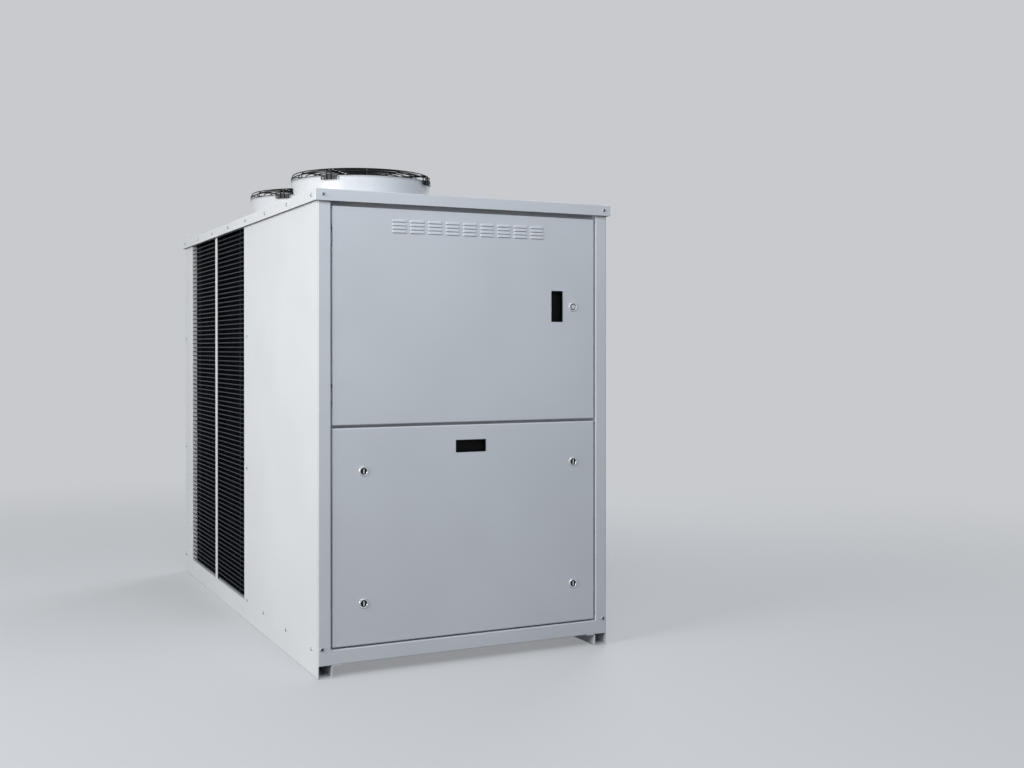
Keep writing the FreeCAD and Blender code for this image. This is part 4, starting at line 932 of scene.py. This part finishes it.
class CHILLER_OT_locks(bpy.types.Operator):
    """Cast the quarter-turn locks and their tongues"""
    bl_idname = "chiller.locks"
    bl_label = "Locks"

    def execute(self, context):
        face, back = (corner.y for corner in span("upper_lock_housing"))
        housings, inserts = [], []
        for node in ("upper_lock_cam", *LOWER_LOCKS):
            x, z = lock_axis(node)
            core = node.replace("cam", "core")
            upper = node == "upper_lock_cam"
            turning = "door_cam" if upper else node.replace("lock_cam", "cam")
            housings.append(lock_housing(x, z, face, back))
            inserts.append(lock_insert(x, z, face))
            end = lock_cap if upper else lock_bit
            finish(lock_cam(core, x, z, face, *span(node)), turning, "lock_core", "lock_metal", node)
            finish(end(core + "_end", x, z, face), turning, "lock", "lock_metal")
        upper, lower = slice(0, 1), slice(1, None)
        for name, body, locks in (("upper_lock_{}", "door", upper), ("lower_lock_{}s", "service_panel", lower)):
            finish(joined(name.format("flange"), *housings[locks]), body, "lock", "lock_metal", name.format("housing"))
            # The near-black rings: partly real inserts, partly painted shade in the lock dishes.
            finish(joined(name.format("insert"), *inserts[locks]), body, "nylon", "black_plastic")
        return {"FINISHED"}


def islands(node):
    """The lowest and highest corner of each separate solid of a frame node."""
    shape = bmesh.new()
    shape.from_mesh(frame["nodes"][node].data)
    bmesh.ops.remove_doubles(shape, verts=shape.verts, dist=0.01 * MM)
    waiting = set(shape.verts)
    boxes = []
    while waiting:
        reached, edge = [], [waiting.pop()]
        while edge:
            vertex = edge.pop()
            reached.append(vertex.co.copy())
            beyond = {link.other_vert(vertex) for link in vertex.link_edges} & waiting
            waiting -= beyond
            edge.extend(beyond)
        boxes.append([Vector([choose(axis) for axis in zip(*reached)]) for choose in (min, max)])
    shape.free()
    return boxes


def screw_head(radius, height):
    """A pan head with a six-point socket, standing on the floor's origin."""
    socket = radius * 0.62
    head = turned("head", (0, 0, 0), [
        (radius * 0.6, 0), (radius, 0), (radius, height * 0.25), (radius * 0.9, height * 0.62),
        (radius * 0.66, height * 0.92), (socket * 1.15, height), (socket, height * 0.93), (socket * 0.9, height * 0.3),
        (socket * 0.1, height * 0.25)], 12, 1)
    with editing(head, "VERT"):
        pick(head, "VERT", lambda place, normal: place.xy.length < socket * 1.05 and place.z > height * 0.26
             and round(math.degrees(math.atan2(place.y, place.x)) / 30) % 2 == 0)
        bpy.ops.transform.resize(value=(0.72, 0.72, 1), center_override=(0, 0, 0))
        pick(head, "VERT", lambda place, normal: place.xy.length < socket * 0.15)
        bpy.ops.mesh.merge(type="CENTER")
        face_outwards()
    return smooth(head, 40)


class CHILLER_OT_screws(bpy.types.Operator):
    """Turn one screw head and set a copy at each place"""
    bl_idname = "chiller.screws"
    bl_label = "Screws"

    def execute(self, context):
        boxes = islands("cover_screws")
        size = boxes[0][1] - boxes[0][0]
        radius, height = max(size) / 2, min(size)
        # A dark disc in the socket: painted shade of the recess.
        shade = soften(bar("socket", (0, 0, height * 0.3), (0, 0, height * 0.45), radius * 0.56, 12), 0.2 * MM, 1)
        models, made = (screw_head(radius, height), shade), ([], [])
        for low, high in boxes:
            size, middle = high - low, (low + high) / 2
            axis = min(range(3), key=lambda index: size[index])
            out = Vector((0, 0, 0))
            out[axis] = math.copysign(1, middle[axis])
            # The screws at the foot of the front and the rear have larger heads.
            wide = 1.25 if axis == 1 and low.z < 0.1 else 1
            place = (Matrix.Translation(middle - out * size[axis] / 2)
                     @ out.to_track_quat("Z", "Y").to_matrix().to_4x4() @ Matrix.Diagonal((wide, wide, 1, 1)))
            for model, copies in zip(models, made):
                copies.append(copied(model, model.name))
                copies[-1].data.transform(place)
        remove(*models)
        heads, sockets = made
        finish(joined("cover_screw_sockets", *sockets), "casing", "socket", "screw_steel")
        finish(joined("cover_screw_heads", *heads), "casing", "screw", "screw_steel", "cover_screws")
        return {"FINISHED"}


# Condenser bays

class CHILLER_OT_coils(bpy.types.Operator):
    """Stack the fins of the two condenser coils"""
    bl_idname = "chiller.coils"
    bl_label = "Condenser coils"

    def execute(self, context):
        pitch = context.scene.chiller_detail.fin_pitch
        fin_depth, coil_depth, fin_gauge, header_radius = 5 * MM, 60 * MM, 0.5 * MM, 12 * MM
        for side, hand in zip(SIDES, ("left", "right")):
            node = "condenser_coil_" + hand
            low, high = span(node)
            outer = (low.x, high.x)[side > 0]
            root, inner = outer - side * fin_depth, outer - side * coil_depth
            core = block(node + "_core", (root, low.y, low.z), (inner, high.y, high.z))
            fin = block("fin", (outer, low.y, low.z), (root, low.y + fin_gauge, high.z))
            fins = spaced(fin, int((high.y - low.y) / pitch), (0, pitch, 0))
            x, y = inner - side * header_radius, low.y + header_radius
            header = smooth(bar("header", (x, y, low.z + 0.1), (x, y, high.z - 0.1), header_radius))
            finish(joined(node + "_fins", core, fins, header), "casing", "fins", "coil_fins", node)
        return {"FINISHED"}


class CHILLER_OT_coil_guards(bpy.types.Operator):
    """Weld the level wires of the two coil guards on their struts"""
    bl_idname = "chiller.coil_guards"
    bl_label = "Coil guards"

    def execute(self, context):
        radius, pitch = context.scene.chiller_detail.wire_radius, context.scene.chiller_detail.wire_pitch
        strut_radius, strut_margin = 2.5 * MM, 102.5 * MM
        for side, hand in zip(SIDES, ("left", "right")):
            node = "coil_guard_" + hand
            low, high = span(node)
            outer, inner = (low.x, high.x)[::-side]
            x, first = outer - side * radius, low.z + pitch / 2
            wire = smooth(bar("wire", (x, low.y, first), (x, high.y, first), radius, 12))
            wires = spaced(wire, int((high.z - low.z) / pitch), (0, 0, pitch))
            x = inner + side * strut_radius
            struts = [smooth(bar("strut", (x, y, low.z), (x, y, high.z), strut_radius, 10))
                      for y in (low.y + strut_margin, (low.y + high.y) / 2, high.y - strut_margin)]
            finish(renamed(wires, node + "_wires"), "casing", "coil_wire", "coil_guard_wire", node)
            finish(joined(node + "_struts", *struts), "casing", "guard", "coil_guard_wire")
        return {"FINISHED"}


class CHILLER_OT_mullions(bpy.types.Operator):
    """Make the flat upright straps in front of the coil guards"""
    bl_idname = "chiller.mullions"
    bl_label = "Mullions"

    def execute(self, context):
        sheet = context.scene.chiller_sheet
        low, high = span("mullions")
        straps = [soften(block("strap", (side * high.x, low.y, low.z),
                               (side * (high.x - sheet.panel), high.y, high.z)), sheet.edge) for side in SIDES]
        finish(joined("mullion_straps", *straps), "casing", "casing", "white_sheet", "mullions")
        return {"FINISHED"}


# Fans

COWL_HEIGHT = 161
COWL_PROFILE = (
    (THROAT, 0), (280, 0), (280, 2), (255.5, 2), (254.2, 3.5), (254, 105), (254.8, 122), (256.8, 142), (260, 159),
    (264, 159), (264.8, 160), (264, COWL_HEIGHT), (258, COWL_HEIGHT), (255.5, 145), (253, 123), (THROAT, 105),
    (THROAT, 0))


class CHILLER_OT_fan_cowls(bpy.types.Operator):
    """Spin the two flared cowls"""
    bl_idname = "chiller.fan_cowls"
    bl_label = "Fan cowls"

    def execute(self, context):
        for end in ENDS:
            cowl = turned(f"fan_cowl_{end}_sheet", fan_centre(end), COWL_PROFILE, 128)
            with editing(cowl):
                bpy.ops.mesh.select_all(action="SELECT")
                bpy.ops.mesh.remove_doubles(threshold=0.01 * MM)
                face_outwards()
            finish(smooth(cowl, 40), "casing", "cowl", "white_cowl", "fan_cowl_" + end)
        return {"FINISHED"}


def ring(centre, radius, wire):
    deselect()
    bpy.ops.mesh.primitive_torus_add(
        location=centre, major_radius=radius, minor_radius=wire, major_segments=72, minor_segments=8)
    return smooth(named("ring"))


def guard_plate(centre, radius):
    """The holed disc that carries the motor, with its top at the centre."""
    edge, hole = radius / MM, 10
    plate = turned("plate", centre, [(hole, 0), (edge - 2, 0), (edge, -1.2), (edge, -4), (hole, -4)])
    return smooth(bridge(plate, lambda middle, along: abs((middle.xy - centre.xy).length - hole * MM) < MM))


def guard_foot(rim, level, place):
    """The plate that bolts a pair of legs to the cowl, made on the x axis and moved to its place."""
    half_width, bolt, bolt_level = 32 * MM, 23 * MM, level - 7 * MM
    foot = block("foot", (rim + MM, -half_width, level - 14 * MM), (rim + 4 * MM, half_width, level + 3.5 * MM))
    cut(foot, *[bar("hole", (rim - 0.01, side * bolt, bolt_level), (rim + 0.02, side * bolt, bolt_level), 4 * MM, 20)
                for side in SIDES])
    soften(foot, 0.8 * MM).data.transform(place)
    return foot


class CHILLER_OT_fan_guards(bpy.types.Operator):
    """Weld the ring-and-bar guards over the fans"""
    bl_idname = "chiller.fan_guards"
    bl_label = "Fan guards"

    def execute(self, context):
        wire, hub = context.scene.chiller_detail.guard_wire, context.scene.chiller_detail.guard_plate
        steps = 7
        for end in ENDS:
            x, y, z = fan_centre(end)
            centre = Vector((x, y, 0))
            low, high = span("fan_guard_" + end)
            rim, rim_top, crown = (high.x - low.x) / 2, z + COWL_HEIGHT * MM, high.z - wire
            parts = [guard_plate(Vector((x, y, high.z)), hub)]
            parts += [ring((x, y, crown), hub + (rim - wire - hub) * step / steps, wire) for step in range(1, steps)]
            parts += [ring((x, y, height), rim - wire * 3, wire) for height in (crown, crown - 9 * MM, rim_top + wire)]
            for degrees in range(15, 375, 30):
                footed = degrees % 90 == 45
                outer, foot, thick, leans = rim - wire, rim_top, wire, (0,)
                if footed:
                    outer, foot, thick, leans = rim + 6 * MM, rim_top - 12 * MM, 3 * MM, SIDES
                under = crown - wire * 2
                for lean in leans:
                    turn = math.radians(degrees) + lean * 8 * MM / rim
                    along = Vector((math.cos(turn), math.sin(turn), 0))
                    parts.append(bent_rod("spoke", [
                        centre + along * reach + Vector((0, 0, height))
                        for reach, height in ((hub - 4 * MM, under), (outer, under), (outer, foot))], thick, 5 * MM))
                if footed:
                    place = Matrix.Translation(centre) @ Matrix.Rotation(math.radians(degrees), 4, "Z")
                    parts.append(guard_foot(rim, rim_top, place))
            finish(joined(f"fan_guard_{end}_wires", *parts), "casing", "guard", "guard_wire", "fan_guard_" + end)
        return {"FINISHED"}


# Inside

class CHILLER_OT_inner_frame(bpy.types.Operator):
    """Fold the rails behind the skins"""
    bl_idname = "chiller.inner_frame"
    bl_label = "Inner frame"

    def execute(self, context):
        for nodes, axis, picks in (
                (("mid_rail",), "x", "hh lh ll hl"), (("top_rail_front",), "x", "hh lh ll"),
                (("top_rail_rear",), "x", "hl hh lh"), (("top_rail_left", "top_rail_right"), "y", "hh lh ll")):
            fold_pieces(nodes, "_sheet", axis, corners(nodes[0], axis, picks), "frame_sheet",
                        context.scene.chiller_sheet.frame)
        return {"FINISHED"}


class CHILLER_OT_seals(bpy.types.Operator):
    """Mould the door seals and the rubber feet of the machines"""
    bl_idname = "chiller.seals"
    bl_label = "Seals and feet"

    def execute(self, context):
        wide = context.scene.chiller_detail.seal_width
        for node, body in (("upper_door_gasket", "door"), ("lower_panel_gasket", "service_panel")):
            low, high = span(node)
            inside = Vector((wide, -0.01, wide))
            seal = cut(block(node + "_foam", low, high), block("hole", low + inside, high - inside))
            finish(soften(seal, 0.9 * MM, 3), body, "seal", "seal", node)
        feet = []
        for low, high in islands("machine_feet"):
            radius, height = (high.x - low.x) / 2, high.z - low.z
            profile = [(radius * out, height * up) for out, up in (
                (1, 0), (1, 0.16), (0.78, 0.3), (0.78, 0.7), (1, 0.84), (1, 1))]
            x, y = ((low + high) / 2).xy
            feet.append(smooth(turned("foot", (x, y, low.z), profile, 32, 1, True), 30))
        finish(joined("machine_feet_rubber", *feet), "casing", "seal", "seal", "machine_feet")
        return {"FINISHED"}


def device(name, low, high, step, share, poles, radius):
    """A switching device whose middle band stands forward of its terminal wells, and the screws in them."""
    step, radius, well_depth, screw_depth = step * MM, radius * MM, 9 * MM, 3 * MM
    face, margin = low.y + step, (high.z - low.z) * (1 - share) / 2
    body = block(name, (low.x, face, low.z), high)
    with editing(body):
        for level in (low.z + margin, high.z - margin):
            bpy.ops.mesh.select_all(action="SELECT")
            bpy.ops.mesh.bisect(plane_co=(0, 0, level), plane_no=(0, 0, 1))
        pick(body, "FACE", lambda middle, normal: normal.y < -STEEP and low.z + margin < middle.z < high.z - margin)
        push((0, -step, 0))
    wells = [(low.x + (high.x - low.x) * (pole + 0.5) / poles, level)
             for pole in range(poles) for level in (low.z + margin / 2, high.z - margin / 2)]
    cut(body, *[stud("well", x, z, face - MM, face + well_depth, radius, 16) for x, z in wells])
    screws = [cut(stud("screw", x, z, face + screw_depth, face + well_depth, radius * 0.8, 12),
                  block("slot", (x - radius, face, z - 0.5 * MM), (x + radius, face + 4 * MM, z + 0.5 * MM)))
              for x, z in wells]
    return soften(body, 0.8 * MM), joined(name + "_screws", *screws)


def device_row(boxes, models, made, poles, route, thick):
    """Set copies of a device's models in each box, and lead a wire from each pole along a route."""
    first, far = boxes[0]
    wires = []
    for low, _ in boxes:
        for model, copies in zip(models, made):
            copies.append(copied(model, model.name, low - first))
        for pole in range(poles):
            x = low.x + (far.x - first.x) * (pole + 0.5) / poles
            wires.append(bent_rod("wire", [(x, first.y + y * MM, z) for y, z in route], thick * MM, 10 * MM))
    remove(*models)
    return wires


def cable_duct(low, high):
    """A slotted cable duct: a plain lid on two combs of fingers."""
    lid_depth, width, pitch = 9, 7, 11
    lid = soften(block("lid", low, (high.x, low.y + lid_depth * MM, high.z)), 1.2 * MM)
    finger = block("finger", low + mm(0, lid_depth, 1), (low.x + width * MM, high.y, low.z + 2.6 * MM))
    row = spaced(finger, int((high.x - low.x) / (pitch * MM)), mm(pitch, 0, 0))
    return joined("duct", lid, row, copied(row, "fingers", (0, 0, high.z - low.z - 3.6 * MM)))


class CHILLER_OT_switchgear(bpy.types.Operator):
    """Fit the breakers, contactors, drive, controller, ducts and wires on the mounting plate"""
    bl_idname = "chiller.switchgear"
    bl_label = "Switchgear"

    def execute(self, context):
        boxes = sorted(islands("switchgear"), key=lambda box: (round(box[0].z, 2), box[0].x))
        small = [box for box in boxes if box[1].x - box[0].x < 0.1]
        drive, controller = [box for box in boxes if box not in small]
        contactors = [box for box in small if box[0].z < 1.0]
        breakers = [box for box in small if box not in contactors]
        dark, steel, pale, black = [], [], [], []

        low, high = contactors[0]
        window = soften(block("window", low + mm(14, -1.2, 36),
                              (high.x - 14 * MM, low.y + 2 * MM, high.z - 36 * MM)), 0.8 * MM)
        route = [(y, high.z + z * MM) for y, z in ((34, -12), (20, 22), (46, 86))]
        wires = device_row(contactors, (*device("contactor", low, high, 26, 0.52, 3, 4.6), window),
                           (dark, steel, pale), 3, route, 2.2)

        low, high = breakers[0]
        middle = (low.z + high.z) / 2
        toggle = soften(block("toggle", (low.x + 7 * MM, low.y - 9 * MM, middle + 2 * MM),
                              (high.x - 7 * MM, low.y + 3 * MM, middle + 9 * MM)), 1.5 * MM)
        route = [(y, low.z + z * MM) for y, z in ((38, 10), (22, -24), (50, -90))]
        wires += device_row(breakers, (*device("breaker", low, high, 30, 0.5, 2, 3), toggle),
                            (pale, steel, black), 2, route, 1.6)

        low, high = drive
        case = block("drive", low, high)
        sink(case, lambda middle, normal: normal.y < -STEEP, 7 * MM, 2.5 * MM)
        top = Vector((low.x, low.y, high.z))
        vents = [block("vent", top + mm(x, -10, -48), top + mm(x + 5, 12, -18)) for x in range(20, 232, 11)]
        dark.append(soften(cut(case, *vents), 1.2 * MM))
        pale.append(soften(block("keypad", low + mm(28, -1, 24), low + mm(108, 4, 88)), 2 * MM))
        black.append(soften(block("display", low + mm(36, -1.8, 56), low + mm(100, 1, 80)), 0.8 * MM))
        for x in range(44, 108, 16):
            key = stud("key", low.x + x * MM, low.z + 40 * MM, low.y - 3 * MM, low.y, 5 * MM, 24)
            black.append(soften(key, 0.9 * MM))

        low, high = controller
        for part, made in zip(device("controller", low, high, 14, 0.56, 22, 3), (dark, steel)):
            made.append(part)
        black.append(soften(block("window", low + mm(60, -1, 62),
                                  (low.x + 170 * MM, low.y + 2 * MM, high.z - 62 * MM)), 1.5 * MM))

        plate, duct_depth, duct_height = high.y, 52 * MM, 40
        ducts = [cable_duct(Vector((-0.33, plate - duct_depth, level * MM)),
                            Vector((0.33, plate, (level + duct_height) * MM))) for level in (985, 1300)]
        hat = ((1, 17.5), (1, 12.5), (7.5, 12.5), (7.5, -12.5), (1, -12.5), (1, -17.5))
        rails = [folded("rail", "x", (-0.345, 0.345), [(plate - y * MM, (level + z) * MM) for y, z in hat],
                        MM, 0.5 * MM) for level in (860, 1163)]
        finish(joined("switchgear_dark", *dark), "casing", "housing", "switchgear_plastic", "switchgear")
        finish(joined("switchgear_pale", *pale), "casing", "pale_housing", "switchgear_plastic")
        finish(joined("switchgear_black", *black), "casing", "impeller", "black_plastic")
        finish(joined("terminal_screws", *steel), "casing", "screw", "screw_steel")
        finish(joined("cable_ducts", *ducts), "casing", "duct", "switchgear_plastic")
        finish(smooth(joined("device_rails", *rails)), "casing", "galvanised", "galvanised_sheet")
        finish(joined("control_wires", *wires), "casing", "wire", "black_plastic")
        return {"FINISHED"}


KEPT_SHAPES = {
    "casing": ("base_rail_left", "base_rail_right", "hinge_frame_leaves", "hinge_door_leaves"),
    "galvanised": ("base_pan", "partition_wall", "mounting_plate"),
    "impeller": ("fan_impeller_front", "fan_impeller_rear"),
    "motor": ("fan_motor_front", "fan_motor_rear"),
    "housing": ("cable_gland",),
    "compressor": ("compressor",),
    "jacket": ("buffer_tank",),
    "stainless": ("plate_exchanger", "water_pipes"),
    "pump": ("circulation_pump",),
    "copper": ("refrigerant_pipes",),
}


class CHILLER_OT_kept_shapes(bpy.types.Operator):
    """Give the fans, machines, pipes and rails that keep the frame's shape their finishes"""
    bl_idname = "chiller.kept_shapes"
    bl_label = "Kept shapes"

    def execute(self, context):
        for material, nodes in KEPT_SHAPES.items():
            for name in nodes:
                for place in frame["nodes"][name].material_slots:
                    place.material = FINISHES[material]
        return {"FINISHED"}


# Stage

LAMPS = (
    # name, place, aimed at, size, power, colour
    ("key_lamp", (-4.23, -1.54, 2.0), (0, -0.4, 0.8), 2.2, 169, "#fffefb"),
    ("front_lamp", (-0.61, -3.45, 3.0), (0, -0.4, 0.8), 1.8, 55, "#eef5ff"),
    ("back_lamp", (3.6, 3.4, 3.4), (0, 0.3, 0.8), 2.4, 118, "#ffffff"),
)


def plainly_seen(tree):
    """1 for rays from the camera and for mirrored ones, 0 for the light that reaches the object."""
    rays = add_node(tree, "LightPath").outputs
    return add_node(tree, "Math", {0: rays["Is Camera Ray"], 1: rays["Is Glossy Ray"]}, operation="MAXIMUM").outputs[0]


class CHILLER_OT_stage(bpy.types.Operator):
    """Set the floor, the lamps and the camera"""
    bl_idname = "chiller.stage"
    bl_label = "Stage"

    def execute(self, context):
        scene = context.scene
        pale = scene.chiller_paint.floor
        deselect()
        bpy.ops.mesh.primitive_plane_add(size=60, location=(0, 0, 0))
        floor = named("studio_floor")
        material, tree, shader, place = material_start("pale_studio_floor")
        output = shader.outputs["BSDF"].links[0].to_node
        seen = plainly_seen(tree)
        # The floor lights the object like a dark one, and fades into the backdrop with distance.
        shown = tint(tree, place, 0.8, scaled(pale, 0.98), pale)
        feed(shader, {"Base Color": blend(tree, seen, scaled(pale, 0.15), shown), "Roughness": 0.8})
        distance = add_node(tree, "VectorMath", {0: place}, operation="LENGTH")
        far = add_node(tree, "MapRange", {
            "Value": distance.outputs["Value"], "From Min": 1.2, "From Max": 5, "To Min": 0.42},
            interpolation_type="SMOOTHSTEP")
        faded = add_node(tree, "Math", {0: far.outputs["Result"], 1: seen}, operation="MULTIPLY")
        backdrop = add_node(tree, "Emission", {"Color": (*pale, 1), "Strength": 1})
        surface = add_node(tree, "MixShader", {
            0: faded.outputs[0], 1: shader.outputs["BSDF"], 2: backdrop.outputs["Emission"]})
        feed(output, {"Surface": surface.outputs["Shader"]})
        floor.data.materials.append(material)

        world = scene.world = bpy.data.worlds.new("studio")
        world.use_nodes = True
        tree = world.node_tree
        tree.nodes.clear()
        light = add_node(tree, "Background", {"Color": (0.84, 0.93, 1, 1), "Strength": 0.34})
        shown = add_node(tree, "Background", {"Color": (*pale, 1), "Strength": 1})
        mixed = add_node(tree, "MixShader", {0: plainly_seen(tree), 1: light.outputs[0], 2: shown.outputs[0]})
        add_node(tree, "OutputWorld", {"Surface": mixed.outputs[0]})

        for name, place, target, size, power, tone in LAMPS:
            lamp = bpy.data.objects.new(name, bpy.data.lights.new(name, "AREA"))
            lamp.data.shape = "SQUARE"
            lamp.data.size = size
            lamp.data.energy = power
            lamp.data.color = linear(tone)
            lamp.location = place
            lamp.rotation_euler = (Vector(target) - Vector(place)).to_track_quat("-Z", "Y").to_euler()
            scene.collection.objects.link(lamp)

        camera = scene.camera = bpy.data.objects.new("camera", bpy.data.cameras.new("camera"))
        scene.collection.objects.link(camera)
        camera.location = (-1.5207, -4.3523, 0.9577)
        camera.rotation_euler = (math.radians(90 - 0.221), 0, math.radians(-26.116))
        camera.data.sensor_width = 36
        camera.data.lens = 42.67
        camera.data.shift_y = -0.03
        camera.data.clip_end = 200
        scene.view_settings.view_transform = "Standard"
        return {"FINISHED"}


OPERATORS = (
    CHILLER_OT_skids, CHILLER_OT_posts, CHILLER_OT_base_rails, CHILLER_OT_side_panels, CHILLER_OT_roof_cap,
    CHILLER_OT_upper_door, CHILLER_OT_lower_panel, CHILLER_OT_rear_panel, CHILLER_OT_grips, CHILLER_OT_locks,
    CHILLER_OT_screws, CHILLER_OT_coils, CHILLER_OT_coil_guards, CHILLER_OT_mullions, CHILLER_OT_fan_cowls,
    CHILLER_OT_fan_guards, CHILLER_OT_inner_frame, CHILLER_OT_seals, CHILLER_OT_switchgear, CHILLER_OT_kept_shapes,
    CHILLER_OT_stage,
)
GROUPS = {"chiller_paint": ChillerPaint, "chiller_sheet": ChillerSheet, "chiller_detail": ChillerDetail}


class CHILLER_PT_pieces(bpy.types.Panel):
    """The chiller's sizes, colours and pieces"""
    bl_idname = "CHILLER_PT_pieces"
    bl_label = "Chiller"
    bl_space_type = "VIEW_3D"
    bl_region_type = "UI"
    bl_category = "Chiller"

    def draw(self, context):
        for name, kind in GROUPS.items():
            box = self.layout.box()
            for setting in kind.__annotations__:
                box.prop(getattr(context.scene, name), setting)
        for operator in OPERATORS:
            self.layout.operator(operator.bl_idname)


CLASSES = (*GROUPS.values(), *OPERATORS, CHILLER_PT_pieces)


def register():
    for made in CLASSES:
        bpy.utils.register_class(made)
    for name, kind in GROUPS.items():
        setattr(bpy.types.Scene, name, bpy.props.PointerProperty(type=kind))


def unregister():
    for name in GROUPS:
        delattr(bpy.types.Scene, name)
    for made in reversed(CLASSES):
        bpy.utils.unregister_class(made)


def main():
    """Make every piece in order."""
    register()
    FINISHES.update(make_materials(bpy.context.scene.chiller_paint))
    for operator in OPERATORS:
        group, action = operator.bl_idname.split(".")
        getattr(getattr(bpy.ops, group), action)()


if __name__ == "__main__":
    main()
